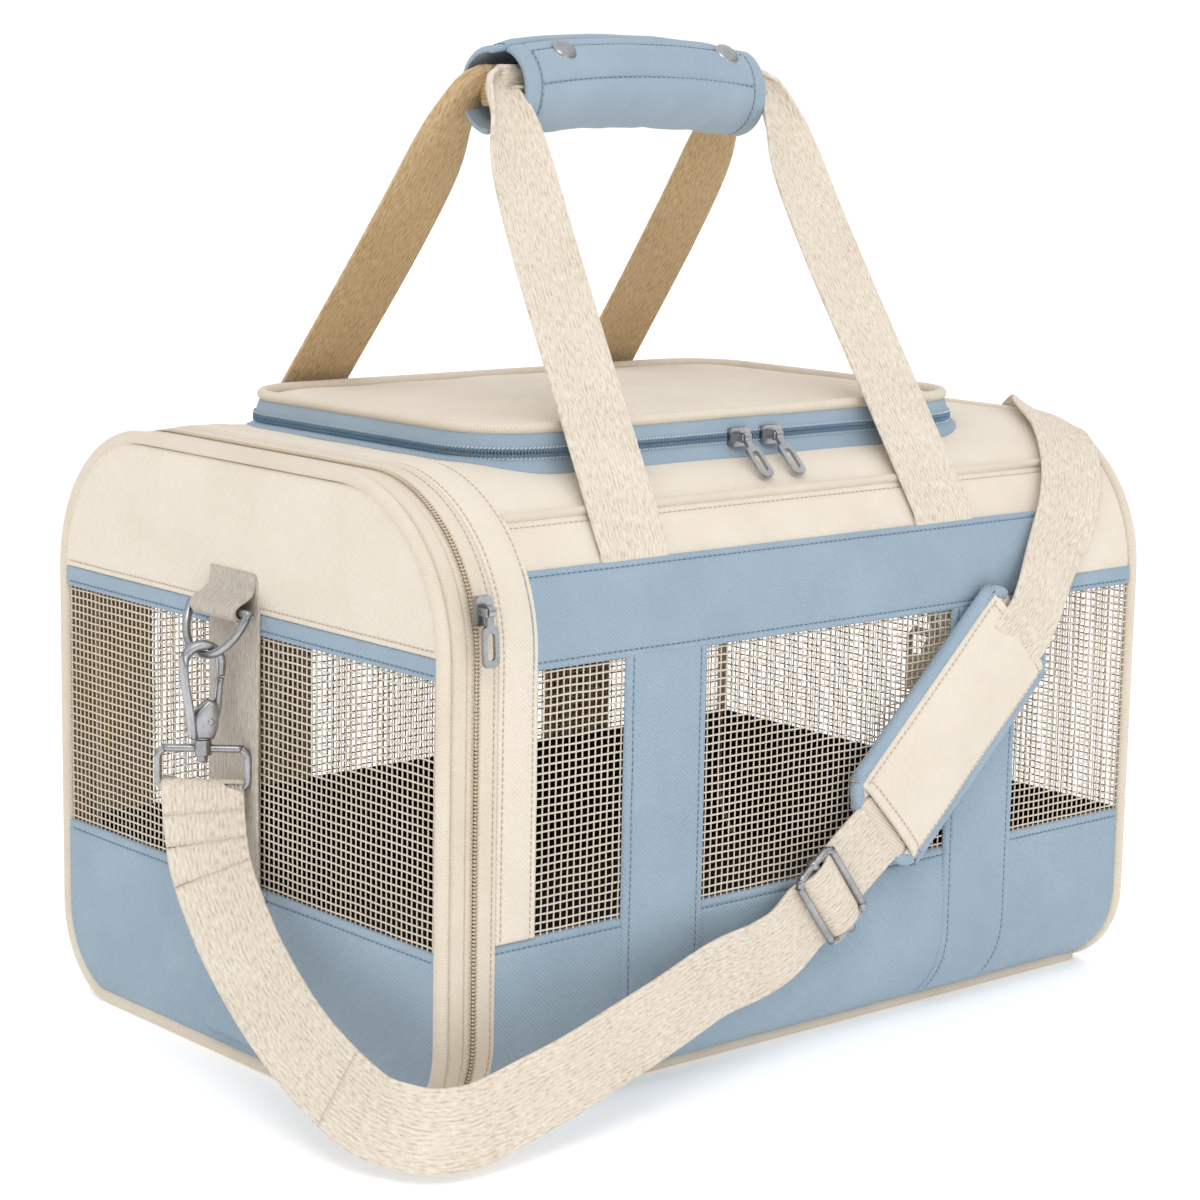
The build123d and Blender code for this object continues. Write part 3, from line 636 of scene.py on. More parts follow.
# ---- Base ----
def base():
    us = stations(TUBE_START, END_X, 8.0)
    t0 = T_PIPE + 2
    vs = np.concatenate([np.linspace(t0, T_FLOOR + 109.9, 24)])
    for sign, name in ((-1, "front"), (1, "rear")):
        u, v = np.meshgrid(us, vs, indexing="ij")
        y, z = wall(sign * v, -0.1)
        iy, iz = wall(sign * v, -3.0)
        points, faces, uv, kinds = shell(np.stack([u, y, z], -1), np.stack([u, iy, iz], -1),
                                         np.stack([u, v], -1))
        obj = make(f"base_{name}_half", points, faces, uv, [blue, dark_lining], kinds)
        fit(obj, "root", "blue_fabric", "base_panel")
    for y in (-PIPE_Y, PIPE_Y):
        path = [(x, y, PIPE) for x in np.linspace(SPLIT, END_X - PIPE, 40)]
        cord_mesh(f"base_piping_{'front' if y < 0 else 'rear'}", "root", "piping", ["base_piping"], path,
                  PIPE, beige_trim)


def floor_pad():
    """Quilted pad: crowned rounded slab with a bound edge and two sewn channels."""
    low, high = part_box("floor_pad")
    low, high = np.array(low) * 1000, np.array(high) * 1000
    cx, cy = (low[:2] + high[:2]) / 2
    hx, hy, thick = (high[0] - low[0]) / 2, (high[1] - low[1]) / 2, high[2] - low[2]
    n, rows = 160, 26
    angle = np.arange(n) / n * 2 * pi
    outline = np.stack([np.sign(np.cos(angle)) * np.abs(np.cos(angle))**0.28 * hx,
                        np.sign(np.sin(angle)) * np.abs(np.sin(angle))**0.28 * hy], -1)
    f = np.concatenate([np.linspace(0, 0.12, 10), np.linspace(0.15, 0.999, rows - 10)])
    top, under = [], []
    for s in f:
        ring = outline * (1 - s)
        d = s * hy
        crown = np.sqrt(np.clip(1 - np.clip(1 - d / 9.0, 0, 1)**2, 0, 1))
        quilt = 1 - 0.16 * np.exp(-((np.abs(ring[:, 0]) - hx / 3) / 5)**2)
        z = low[2] + thick / 2 + (thick / 2) * crown * quilt
        top.append(np.column_stack([ring[:, 0] + cx, ring[:, 1] + cy, z]))
        under.append(np.column_stack([ring[:, 0] + cx, ring[:, 1] + cy,
                                      np.full(n, low[2] + thick / 2 - thick / 2 * crown)]))
    outer, inner = np.stack(top, 1), np.stack(under, 1)
    inner[:, 0] = outer[:, 0] - [0, 0, 0.01]
    points, faces, uv, kinds = shell(outer, inner, outer[..., :2], wrap=True)
    pad = make("floor_pad_cover", points, faces, uv, [dark_lining])
    fit(pad, "root", "pad", "floor_pad")
    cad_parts["base_board"].data.materials.clear()
    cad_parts["base_board"].data.materials.append(board_grey)


# ---- Long sides ----
def net(name, body, node, spread, height, place, facing_normal):
    """A window of coarse mesh: two sets of round threads, a little uneven."""
    pitch, thread = 3.75, 0.46
    points, faces = [], []
    normal = np.array(facing_normal, float)

    def lay(line, cross):
        base_index = sum(len(p) for p in points)
        ring = np.array([[1, 0], [0, 1], [-1, 0], [0, -1]])
        n = len(line)
        section = line[:, None] + ring[:, 0][None, :, None] * cross * thread \
            + ring[:, 1][None, :, None] * normal * thread
        points.append(section.reshape(-1, 3))
        for k in range(n - 1):
            for j in range(4):
                a, b = base_index + k * 4 + j, base_index + k * 4 + (j + 1) % 4
                faces.append((a, b, b + 4, a + 4))

    def wobble(a, b, seed):
        return ripple(a, b, seed, 26) * 0.22

    ups = np.arange(spread[0], spread[1], pitch)
    rows = np.arange(height[0], height[1] + pitch, pitch * 1.5)
    for k, u in enumerate(ups):
        du = wobble(np.full_like(rows, u), rows, 11)
        lay(place(u + du, rows, -0.25), place(1.0, 0.0, 0.0) - place(0.0, 0.0, 0.0))
    across = np.arange(spread[0], spread[1] + pitch, pitch * 2)
    for v in np.arange(height[0] + 1.2, height[1], pitch):
        dv = wobble(across, np.full_like(across, v), 12)
        lay(place(across, v + dv, 0.25), np.array([0.0, 0.0, 1.0]))
    obj = make(name, np.concatenate(points), faces, materials=[net_thread])
    return fit(obj, body, "mesh", node)


def side_place(sign):
    def place(u, v, off):
        u, v = np.broadcast_arrays(np.asarray(u, float), np.asarray(v, float))
        return np.stack([u, np.full_like(u, sign * (HALF_WIDTH - 0.9 + off)), v], -1)
    return place


def end_place(x, facing):
    def place(u, v, off):
        u, v = np.broadcast_arrays(np.asarray(u, float), np.asarray(v, float))
        return np.stack([np.full_like(u, x + facing * off), u, v], -1)
    return place


def long_side(sign, name):
    s = sign
    order = (lambda a, b: (min(s * a, s * b), max(s * a, s * b)))
    patch(f"{name}_lower_cover", "root", "blue_fabric", [f"{name}_lower_panel"], (TUBE_START, END_X),
          order(T_PIPE, T_SILL), 0.0, -3.0, blue, dark_lining, "blue", puff=1.2, crease=0.5, seed=3,
          seams=[("t", s * (T_SILL + 4))])
    net(f"{name}_window_net", "root", f"{name}_window_mesh", (FACING[1] - 6, END_X), (Z_SILL - 3, Z_HEAD + 3),
        side_place(s), (0, s, 0))
    wide = 172.0
    patch(f"{name}_window_band", "root", "blue_fabric", ["window_bands"], (-187.0, wide),
          order(T_BAND, T_HEAD), 1.5, -0.4, blue, tan_lining, "blue", crease=0.3, seed=5,
          seams=[("t", s * (T_HEAD - 3.6)), ("t", s * (T_BAND + 3.4))])
    patch(f"{name}_window_band_end", "root", "blue_fabric", [], (wide - 1, END_X),
          order(wall_t(217.4), T_HEAD), 1.2, -0.6, blue, tan_lining, "blue", crease=0.2, seed=6,
          seams=[("t", s * (T_HEAD - 2.6))], step=3)
    patch(f"{name}_shoulder_cover", "root", "beige_fabric", ["shoulder_panels"], (TUBE_START, END_X),
          order(T_RIDGE, T_HEAD - 2), 0.0, -3.0, beige, tan_lining, "tan", crease=0.35, seed=8,
          seams=[("t", s * (T_RIDGE + 5.2))])
    for k, centre in enumerate(STRAP_X):
        x0, x1 = centre - STRAP_W / 2, centre + STRAP_W / 2
        patch(f"{name}_window_strap_{k + 1}", "root", "blue_fabric", ["window_straps"], (x0, x1),
              order(T_HEAD - 2, wall_t(11.0)), 1.6, -0.1, blue, tan_lining, "blue", puff=0.5, crease=0.25,
              seed=20 + k, seams=[("x", x0 + 4.2), ("x", x1 - 4.2)], step=3.5)
    ridge_y, ridge_z = wall(np.array(s * T_RIDGE), 0.3)
    path = [(x, float(ridge_y), float(ridge_z)) for x in np.linspace(FACING[1] - 2, END_X - 1, 90)]
    cord_mesh(f"{name}_ridge_seam", "root", "beige_fabric", [], path, 2.3, beige_trim)


# ---- Top and hatch ----
def hatch_outline(margin, per_side=46, per_corner=14):
    """Points and outward directions round the hatch, inset by margin."""
    x0, x1, hy, r = HATCH
    x0, x1, hy, r = x0 + margin, x1 - margin, hy - margin, r - margin
    points, normals = [], []
    corners = [((x1 - r, hy - r), 0), ((x0 + r, hy - r), 90), ((x0 + r, -hy + r), 180),
               ((x1 - r, -hy + r), 270)]
    for k, ((cx, cy), start) in enumerate(corners):
        for j in range(per_corner + 1):
            a = radians(start + 90 * j / per_corner)
            points.append((cx + r * cos(a), cy + r * sin(a)))
            normals.append((cos(a), sin(a)))
        (nx, ny), turn = corners[(k + 1) % 4]
        a = radians(start + 90)
        end = (nx + r * cos(a), ny + r * sin(a))
        begin = points[-1]
        for j in range(1, per_side):
            f = j / per_side
            points.append((begin[0] + (end[0] - begin[0]) * f, begin[1] + (end[1] - begin[1]) * f))
            normals.append((cos(a), sin(a)))
    return np.array(points), np.array(normals)


def loops(name, body, slot_name, nodes, rows, materials, uv_rows=None, fill=False):
    """Skin through closed loops of points; fill closes the last loop."""
    rows = np.stack(rows, 1)
    n, m = rows.shape[:2]
    index = np.arange(n * m).reshape(n, m)
    nxt = np.roll(index, -1, 0)
    faces = np.stack([index[:, :-1], nxt[:, :-1], nxt[:, 1:], index[:, 1:]], -1).reshape(-1, 4).tolist()
    if fill:
        faces.append(index[:, -1].tolist())
    along = np.concatenate([[0], np.cumsum(np.linalg.norm(np.diff(rows[:, 0, :], axis=0), axis=1))])
    across = np.concatenate([[0], np.cumsum(np.linalg.norm(np.diff(rows[0], axis=0), axis=1))])
    uv = np.stack(np.broadcast_arrays(along[:, None], across[None]), -1).reshape(-1, 2)
    if uv_rows is not None:
        uv = uv_rows.reshape(-1, 2)
    return fit(make(name, rows.reshape(-1, 3), faces, uv, materials), body, slot_name, *nodes)


def rect_partner(points, x0, x1, t1, per_side=46, per_corner=14):
    """For each hatch outline point, its partner on the top panel's outer rectangle."""
    px0, px1, hy, r = HATCH[0], HATCH[1], HATCH[2], HATCH[3]
    step = per_side + per_corner
    partner = []
    tips = [(x1, t1), (x0, t1), (x0, -t1), (x1, -t1)]
    for k in range(4):
        tip = np.array(tips[k])
        first, last = points[k * step], points[(k * step + per_corner)]
        if k % 2 == 0:
            a, b = np.array([tip[0], first[1]]), np.array([last[0], tip[1]])
        else:
            a, b = np.array([first[0], tip[1]]), np.array([tip[0], last[1]])
        for j in range(per_corner + 1):
            f = j / per_corner
            partner.append(a + (tip - a) * f * 2 if f <= 0.5 else tip + (b - tip) * (f - 0.5) * 2)
        for j in range(1, per_side):
            q = points[k * step + per_corner + j]
            if k % 2 == 0:
                partner.append(np.array([q[0], tip[1]]))
            else:
                partner.append(np.array([tip[0], q[1]]))
    return np.array(partner)


def top():
    outline, outward = hatch_outline(3.0)
    start = np.column_stack([outline[:, 0], side_t(outline[:, 1])])
    finish = rect_partner(start, TUBE_START, END_X, T_RIDGE)
    f = np.concatenate([[0, 0.03, 0.07, 0.12], np.linspace(0.18, 0.9, 12), [0.95, 0.98, 1.0]])
    uv = start[:, None] + (finish - start)[:, None] * f[None, :, None]
    span = np.linalg.norm(finish - start, axis=1)[:, None] * f[None]
    rest = np.linalg.norm(finish - start, axis=1)[:, None] * (1 - f[None])
    pillow = np.clip(np.minimum(span, rest) / 14, 0, 1)
    off = ripple(uv[..., 0], uv[..., 1], 31, 75) * 0.45 * pillow + 0.7 * pillow
    off = off - 1.2 * np.clip(1 - rest / 1.6, 0, 1)**2
    y, z = wall(uv[..., 1], off)
    iy, iz = wall(uv[..., 1], -3.0)
    points, faces, uvs, kinds = shell(np.stack([uv[..., 0], y, z], -1), np.stack([uv[..., 0], iy, iz], -1),
                                      uv,
                                      wrap=True)
    obj = make("top_cover", points, faces, uvs, [beige, tan_lining], kinds)
    fit(obj, "root", "beige_fabric", "top_panel")


def hatch():
    def ring(margin, z, drape=False, off=0.0):
        p, n = hatch_outline(margin)
        if drape:
            y, zz = wall(side_t(p[:, 1]), off)
            return np.column_stack([p[:, 0], y, zz])
        return np.column_stack([p, np.full(len(p), z)])

    # Lower tape: flares out on to the top panel, rises to the chain, and turns in below it.
    rows = [ring(-4.6, 0, True, 0.4), ring(-4.4, 0, True, 1.1), ring(-2.4, 0, True, 1.6),
            ring(-0.9, 0, True, 2.2)]
    foot = rows[-1]
    head = ring(0.1, Z_COIL - 2.2)
    for f in (0.35, 0.7, 1.0):
        rows.append(foot * (1 - f) + head * f)
    rows += [ring(0.4, Z_COIL - 0.9), ring(1.6, Z_COIL - 0.6), ring(2.4, Z_COIL - 1.2), ring(2.5, 284),
             ring(4.0, 283)]
    loops("hatch_lower_tape", "root", "zipper", ["hatch_zip_base"], rows, [blue_soft])
    # Upper tape: slopes in from the chain to the lid's edge cord.
    rows = [ring(2.5, Z_COIL + 3.0), ring(2.4, Z_COIL + 1.2), ring(1.6, Z_COIL + 0.7),
            ring(0.3, Z_COIL + 0.9),
            ring(-0.1, Z_COIL + 1.8), ring(0.2, Z_COIL + 3.4), ring(1.1, Z_COIL + 6.5),
            ring(2.2, Z_LID + 0.2),
            ring(3.6, Z_LID + 1.4), ring(5.2, Z_LID - 0.5)]
    loops("lid_upper_tape", "lid", "zipper", ["lid_zip_band"], rows, [blue_soft])
    p, n = hatch_outline(0.0)
    n3 = np.column_stack([n, np.zeros(len(n))])

    def closed(a):
        return np.concatenate([a, a[:1]])

    for body, z in (("root", Z_COIL - 0.85), ("lid", Z_COIL + 0.85)):
        path = np.column_stack([p, np.full(len(p), z)])
        bead_row(body, "navy_coil", closed(path), closed(n3), 1.5, (1.0, 0.6, 0.8), lift=0.8, skew=1.15)
    for body, z in (("root", Z_COIL - 2.4), ("lid", Z_COIL + 2.4)):
        path = np.column_stack([p, np.full(len(p), z)])
        bead_row(body, "pale_blue", closed(path), closed(n3), 2.0, (0.8, 0.5, 0.45), lift=0.9, skew=0.6)
    # Lid panel: a soft crown inside the edge cord.
    rows, uvs = [], []
    for d in (3.6, 4.4, 6.0, 8.0, 11, 15, 20, 27, 36, 37.9):
        margin = min(d, 36.9)
        p, n = hatch_outline(margin)
        rise = 5.5 * (1 - np.exp(-(d - 3.6) / 13))
        bump = ripple(p[:, 0], p[:, 1], 41, 80) * 0.5 * min(1, (d - 3.6) / 12)
        rows.append(np.column_stack([p, Z_LID - 0.4 + rise + bump]))
        uvs.append(p)
    inner, _ = hatch_outline(36.9)
    middle = np.array([(HATCH[0] + HATCH[1]) / 2, 0.0])
    for f in np.linspace(0.06, 0.97, 16):
        q = inner * (1 - f) + np.column_stack([inner[:, 0] * (1 - f) + middle[0] * f,
                                               np.zeros(len(inner))]) * f
        bump = ripple(q[:, 0], q[:, 1], 41, 80) * 0.5
        rise = 5.5 * (1 - np.exp(-(36.9 - 3.6) / 13)) + 1.2 * np.sin(f * pi / 2)
        rows.append(np.column_stack([q, Z_LID - 0.4 + rise + bump]))
        uvs.append(q)
    lid = loops("lid_cover", "lid", "beige_fabric", ["lid_panel"], rows, [beige], np.stack(uvs, 1), fill=True)
    solid = lid.modifiers.new("thickness", "SOLIDIFY")
    solid.thickness, solid.offset = 0.0028, -1
    p, n = hatch_outline(3.4)
    cord_mesh("lid_edge_cord", "lid", "piping", ["lid_piping"],
              np.column_stack([p, np.full(len(p), Z_LID + 2.2)]),
              2.7, beige_trim, closed=True)


# ---- Ends ----
def hoop_path(x, step=5.0):
    t = np.arange(-T_FLOOR - (HALF_WIDTH - R_LOW), T_FLOOR + (HALF_WIDTH - R_LOW), step)
    y, z = wall(t, -(PIPE - 1.5))
    return np.column_stack([np.full_like(t, x), y, np.maximum(z, PIPE)])


def end_panel(prefix, body, x, facing):
    end_patch(f"{prefix}_upper_cover", body, "beige_fabric", [f"{prefix}_upper_panel"], x, facing,
              (Z_HEAD + 9.9, HEIGHT - 5.0), 1.5, -1.5, beige, tan_lining, "tan", puff=2.2, crease=0.5,
              seed=51,
              seams=[Z_HEAD + 13])
    end_patch(f"{prefix}_window_band", body, "blue_fabric", [], x, facing, (Z_HEAD, Z_HEAD + 10), 1.7, -1.5,
              blue,
              tan_lining, "blue", crease=0.1, seed=52, seams=[Z_HEAD + 2.6])
    end_patch(f"{prefix}_lower_cover", body, "blue_fabric", [f"{prefix}_lower_panel"], x, facing,
              (PIPE + 2.0, Z_SILL), 1.5, -1.5, blue, dark_lining, "blue", puff=2.0, crease=0.5, seed=53,
              seams=[Z_SILL - 4])
    net(f"{prefix}_window_net", body, f"{prefix}_mesh", (-HALF_WIDTH + 4, HALF_WIDTH - 4),
        (Z_SILL - 3, Z_HEAD + 3),
        end_place(x, facing), (facing, 0, 0))
    cord_mesh(f"{prefix}_edge_piping", body, "piping", [f"{prefix}_piping"], hoop_path(x), PIPE, beige_trim,
              closed=True, around=14)


def zip_door():
    whole = (-T_HINGE, T_HINGE)
    gusset = (-HALF_LENGTH + 3.3, SPLIT - 5.2)
    patch("door_gusset_cover", "door", "beige_fabric", ["door_gusset"], gusset, whole, 0.1, -3.0, beige_trim,
          tan_lining, "tan", puff=0.5, crease=0.1, step=5.0, soft=1.2)
    patch("door_zip_tape_cover", "door", "zipper", ["door_zip_tape"], (SPLIT - 5.2, SPLIT - 0.7), whole,
          -0.4, -2.0,
          beige_trim, tan_lining, "tan", crease=0.05, step=5.0, soft=0.6)
    patch("frame_zip_tape_cover", "root", "zipper", ["door_frame_zip_tape"], (SPLIT + 0.7, FACING[0] + 0.2),
          whole,
          0.9, -1.4, beige_trim, tan_lining, "tan", puff=0.3, crease=0.05, step=5.0, soft=0.9,
          seams=[("x", FACING[0] - 2.2)])
    patch("frame_facing_cover", "root", "beige_fabric", ["door_frame_facing"], FACING, (-T_SILL, T_SILL),
          1.6, -1.4,
          beige, tan_lining, "tan", puff=0.3, crease=0.2, step=5.0, soft=1.4,
          seams=[("x", FACING[0] + 2.4), ("x", FACING[1] - 3.0)])
    t = np.arange(-T_HINGE, T_HINGE, 3.0)
    y, z = wall(t, 0.4)
    normals = wall_normals(t)
    for body, shift in (("door", -0.85), ("root", 0.85)):
        path = np.column_stack([np.full_like(t, SPLIT + shift), y, z])
        bead_row(body, "beige_coil", path, normals, 1.7, (0.9, 0.85, 0.8), skew=1.1)
        path = np.column_stack([np.full_like(t, SPLIT + 3.0 * shift), y, z])
        bead_row(body, "tan", path, normals, 2.3, (0.8, 0.4, 0.3), skew=0.4)


# ---- Webbing ----
def facing_normal(facing, lift=0.0):
    f, l = radians(facing), radians(lift)
    return [-sin(f) * cos(l), -cos(f) * cos(l), sin(l)]


def on_arc(angle, offset, side=-1):
    """Y and Z on an upper corner arc, angle up from the side's face."""
    reach = R_TOP + offset
    return side * (TOP_FLAT + reach * cos(radians(angle))), HEIGHT - R_TOP + reach * sin(radians(angle))


def handle_legs(side, body, node, material):
    """Two legs of one handle: sewn at the foot, lifting off the shoulder, gathered into the grip."""
    offset = 0.5 + WEB_T / 2 + 0.6
    band_angle = degrees(asin((Z_BAND - HEIGHT + R_TOP) / R_TOP))
    tops = (GRIP[0] - 8.5, GRIP[1] + 8.5)
    for k, (foot, top_x) in enumerate(zip(FEET, tops)):
        inward = 1 if k == 0 else -1
        rows = []
        for a, sunk in ((band_angle - 3, 2.4), (band_angle, 1.9), (band_angle + 3, 0.0), (33, 0.0)):
            y, z = on_arc(a, offset - sunk, side)
            n = [0, side * cos(radians(a)), sin(radians(a))]
            rows.append([foot, y, z] + n + [WEB, WEB_T, 0.02])
        lift_y, lift_z = rows[-1][1:3]
        end = np.array([top_x, side * 6.0, GRIP_Z - 3])
        begin = np.array([foot, lift_y, lift_z])
        across = end - begin
        out = np.array([0, across[2] * side, -across[1] * side])
        out = out / np.linalg.norm(out)
        for f, w, th, cup in ((0.06, WEB, WEB_T, 0.02), (0.3, WEB, WEB_T, 0.05), (0.6, WEB, WEB_T, 0.12),
                              (0.8, WEB - 2, WEB_T, 0.7), (0.92, WEB - 8, WEB_T + 0.3, 2.4),
                              (1.0, WEB - 16, WEB_T + 0.6, 3.6)):
            p = begin + across * f
            rows.append(list(p) + list(out) + [w, th, cup])
        rows.append([top_x + inward * 14, side * 5.0, GRIP_Z - 1] + list(out) + [WEB - 18, WEB_T + 0.8, 3.8])
        line = smooth_line(rows, 4.0)
        name = f"{body}_leg_{'left' if k == 0 else 'right'}"
        points, faces, uv = sweep(line[:, :3], line[:, 3:6], line[:, 6], line[:, 7], 7.0, 30, line[:, 8])
        leg = make(name, points, faces, uv, [material])
        start = np.array([foot, *on_arc(band_angle + 1, offset, side)]) * 0.001
        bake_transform(leg)
        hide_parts(node)


def bundle():
    """The handle webbing that crosses inside the grip."""
    for side, body in ((-1, "front_handle"), (1, "rear_handle")):
        x = np.linspace(GRIP[0] - 6, GRIP[1] + 6, 50)
        path = np.column_stack([x, np.full(50, side * 5.2), np.full(50, GRIP_Z - 1)])
        normals = np.tile([0, side, 0], (50, 1))
        points, faces, uv = sweep(path, normals, 20.0, 7.5, 3.0, 20)
        obj = make(f"{body}_core", points, faces, uv, [handle_web if side < 0 else rear_web])
        fit(obj, body, "webbing")


def grip_shell(name, body, nodes, start, stop, radius, wall_t_mm, x_range, mid_seam=None, top_bind=True):
    """Padded wrap round the handles: angles up from +Y about the grip line."""
    us = stations(x_range[0], x_range[1], 2.5, 1.4)
    arc = radius * radians(stop - start)
    vs = stations(0, arc, 2.0, 1.2)
    bind = 8.5
    marks = [x_range[0] + bind, x_range[1] - bind]
    us = np.unique(np.concatenate([us] + [m + np.array([-1, -0.5, 0, 0.5, 1]) for m in marks]).round(4))
    lines = ([bind] if top_bind else []) + ([mid_seam] if mid_seam else [])
    vs = np.unique(np.concatenate([vs] + [m + np.array([-1, -0.5, 0, 0.5, 1]) for m in lines]).round(4))
    u, v = np.meshgrid(us, vs, indexing="ij")
    centre = (x_range[0] + x_range[1]) / 2
    half = (x_range[1] - x_range[0]) / 2
    ends = np.abs(u - centre) / half
    droop = -5.5 * ends**2.2 + 2.0
    inside_u = np.clip(np.minimum(u - marks[0], marks[1] - u) / 9, 0, 1)
    low_edge = arc - v
    inside_v = np.clip((v - bind) / 7, 0, 1) * np.clip(low_edge / 9, 0, 1)
    pad = 1.9 * np.sqrt(np.clip(inside_u * inside_v, 0, 1))
    if mid_seam:
        pad = pad * (1 - 0.55 * np.exp(-((v - mid_seam) / 3.0)**2))
        below = np.clip((v - mid_seam - 4) / 10, 0, 1) * np.clip(low_edge / 10, 0, 1)
        fold = np.sin(u * 2 * pi / 26 + ripple(u, v, 61, 40) * 2.6)
        pad = pad + below * (0.9 * fold - 0.5 * np.clip(fold, 0.6, 1)) * inside_u
    off = pad + ripple(u, v, 60, 30) * 0.25 - edge_drop(u, v, us, vs, 1.5)
    for m in marks:
        off = off - 0.7 * np.exp(-((u - m) / 0.6)**2)
    for m in lines:
        off = off - 0.7 * np.exp(-((v - m) / 0.6)**2) * ((u > marks[0]) & (u < marks[1]))
    angle = np.radians(start) + v / radius

    def at(r):
        return np.stack([u, r * np.cos(angle), GRIP_Z + droop + r * np.sin(angle)], -1)

    outer, inner = at(radius + off), at(np.full_like(u, radius - wall_t_mm))
    points, faces, uv, kinds = shell(outer, inner, np.stack([u, v], -1))
    obj = make(name, points, faces, uv, [blue_soft])
    fit(obj, body, "blue_fabric", *nodes)

    def thread_line(uu, vv):
        a = radians(start) + vv / radius
        d = -5.5 * (np.abs(uu - centre) / half)**2.2 + 2.0
        r = radius + 0.1
        path = np.stack([uu, r * np.cos(a), GRIP_Z + d + r * np.sin(a)], -1)
        return path, np.stack([np.zeros_like(a), np.cos(a), np.sin(a)], -1)

    for m in marks:
        vv = np.arange(bind if top_bind else 2, arc - 1, 1.5)
        path, n = thread_line(np.full_like(vv, m), vv)
        stitch(body, path, n, "blue")
    for m in lines:
        uu = np.arange(marks[0], marks[1], 2.0)
        path, n = thread_line(uu, np.full_like(uu, m))
        stitch(body, path, n, "blue", lift=0.3 if m == mid_seam else 0.0)
    return obj


def snap_caps():
    """Domed metal caps with a rolled rim."""
    for k, x in enumerate((-48.0, 58.0)):
        centre = (GRIP[0] + GRIP[1]) / 2
        half = (GRIP[1] - GRIP[0]) / 2
        droop = -5.5 * (abs(x - centre) / half)**2.2 + 2.0
        tilt = radians(134)
        axis = np.array([0, cos(tilt), sin(tilt)])
        side = np.array([1.0, 0, 0])
        other = np.cross(axis, side)
        base_point = np.array([x, 0, GRIP_Z + droop]) + axis * (GRIP_R + 0.6)
        profile = [(0.01, 2.7), (2.0, 2.6), (4.0, 2.2), (5.6, 1.5), (6.4, 0.8), (6.6, 0.3), (6.3, -0.2),
                   (0.01, -0.3)]
        n = 36
        a = np.arange(n) / n * 2 * pi
        rows = [base_point + axis * h + r * (np.cos(a)[:, None] * side + np.sin(a)[:, None] * other)
                for r, h in profile]
        loops(f"snap_cap_{k + 1}", "front_handle", "steel", ["snap_caps"], rows, [gunmetal])


# ---- Shoulder strap ----
def shoulder_strap():
    low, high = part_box("left_swivel_loop")
    bar_z = low.z * 1000 + 1.8
    left_x, hook_y = -HALF_LENGTH - 21.0, -1.0
    over = 3.3
    n = np.array(facing_normal(41))
    bar = np.array([left_x, hook_y, bar_z])

    def around(centre, normal, angle):
        """A station wrapped round the loop's bar; angle 0 is in front, 90 on top."""
        a = radians(angle)
        direction = normal * cos(a) + np.array([0, 0, 1.0]) * sin(a)
        return list(centre + direction * over) + list(direction)

    turn = [list(bar - n * over + np.array([0, 0, -16.0])) + list(-n), around(bar, n, 180),
            around(bar, n, 135),
            around(bar, n, 90), around(bar, n, 45), around(bar, n, 0)]
    drop = [(-249, -10, 106, 41, 0), (-252, -27, 86, 41, 0), (-256, -51, 68, 41, 0), (-262, -87, 50, 41, 0),
            (-267, -125, 37, 38, 0), (-267, -157, 28, 33, 0), (-260, -176, 25, 28, 0),
            (-250, -186, 24, 22, 0),
            (-232, -190, 24.5, 15, 0), (-205, -190, 30, 8, 0), (-178, -188, 35, 5, 0), (-149, -184, 41, 4, 0),
            (-119, -180, 47.5, 3, 0), (-81, -174, 56, 2, 0), (-52, -169, 58, 1, 0), (-33, -166.5, 62, 0, 0),
            (-19, -164.2, 69.2, 0, 0), (-13, -164.6, 73.5, 0, 0), (-7, -170.6, 78, 0, 0),
            (1, -170.8, 84, 0, 0),
            (7.5, -164.6, 88.6, 0, 0), (14, -164.2, 94, 0, 0), (34, -165, 109, 0, 0), (48, -165.4, 122, 0, 0)]
    rows = turn + [list(r[:3]) + facing_normal(*r[3:]) for r in drop]
    line = smooth_line(rows, 3.0)
    path, normals = line[:, :3], line[:, 3:]
    along = np.concatenate([[0], np.cumsum(np.linalg.norm(np.diff(path, axis=0), axis=1))])
    first = float(along[np.argmin(np.linalg.norm(path - np.array(drop[0][:3]), axis=1))])
    cuts = [0, first * 0.62, first * 0.85, first + 6, first + 150, along[-1] + 1]
    pairs = [("left_loop", "left_hook"), ("left_hook", "left_ring"), ("left_ring", "door"), ("door", "root"),
             None]
    for k, pair in enumerate(pairs):
        keep = np.flatnonzero((along >= cuts[k] - 1e-6) & (along <= cuts[k + 1] + 3.0))
        keep = keep[:-1] if k < 4 and along[keep[-1]] > cuts[k + 1] + 2.9 else keep
        strap_part(f"strap_left_{k + 1}", path[keep], normals[keep], pair,
                   ["strap_left_drop"] if k < 4 else ["strap_front_run"])
    right_side()


def strap_part(name, path, normals, pair, nodes):
    points, faces, uv = sweep(path, normals, 38.0, 2.4, 7.0, 30)
    obj = make(name, points, faces, uv, [strap_web])
    if pair and np.linalg.norm(path[-1] - path[0]) > 1:
        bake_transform(obj)
    else:
        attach(obj, "root")
    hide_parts(*nodes)
    return obj


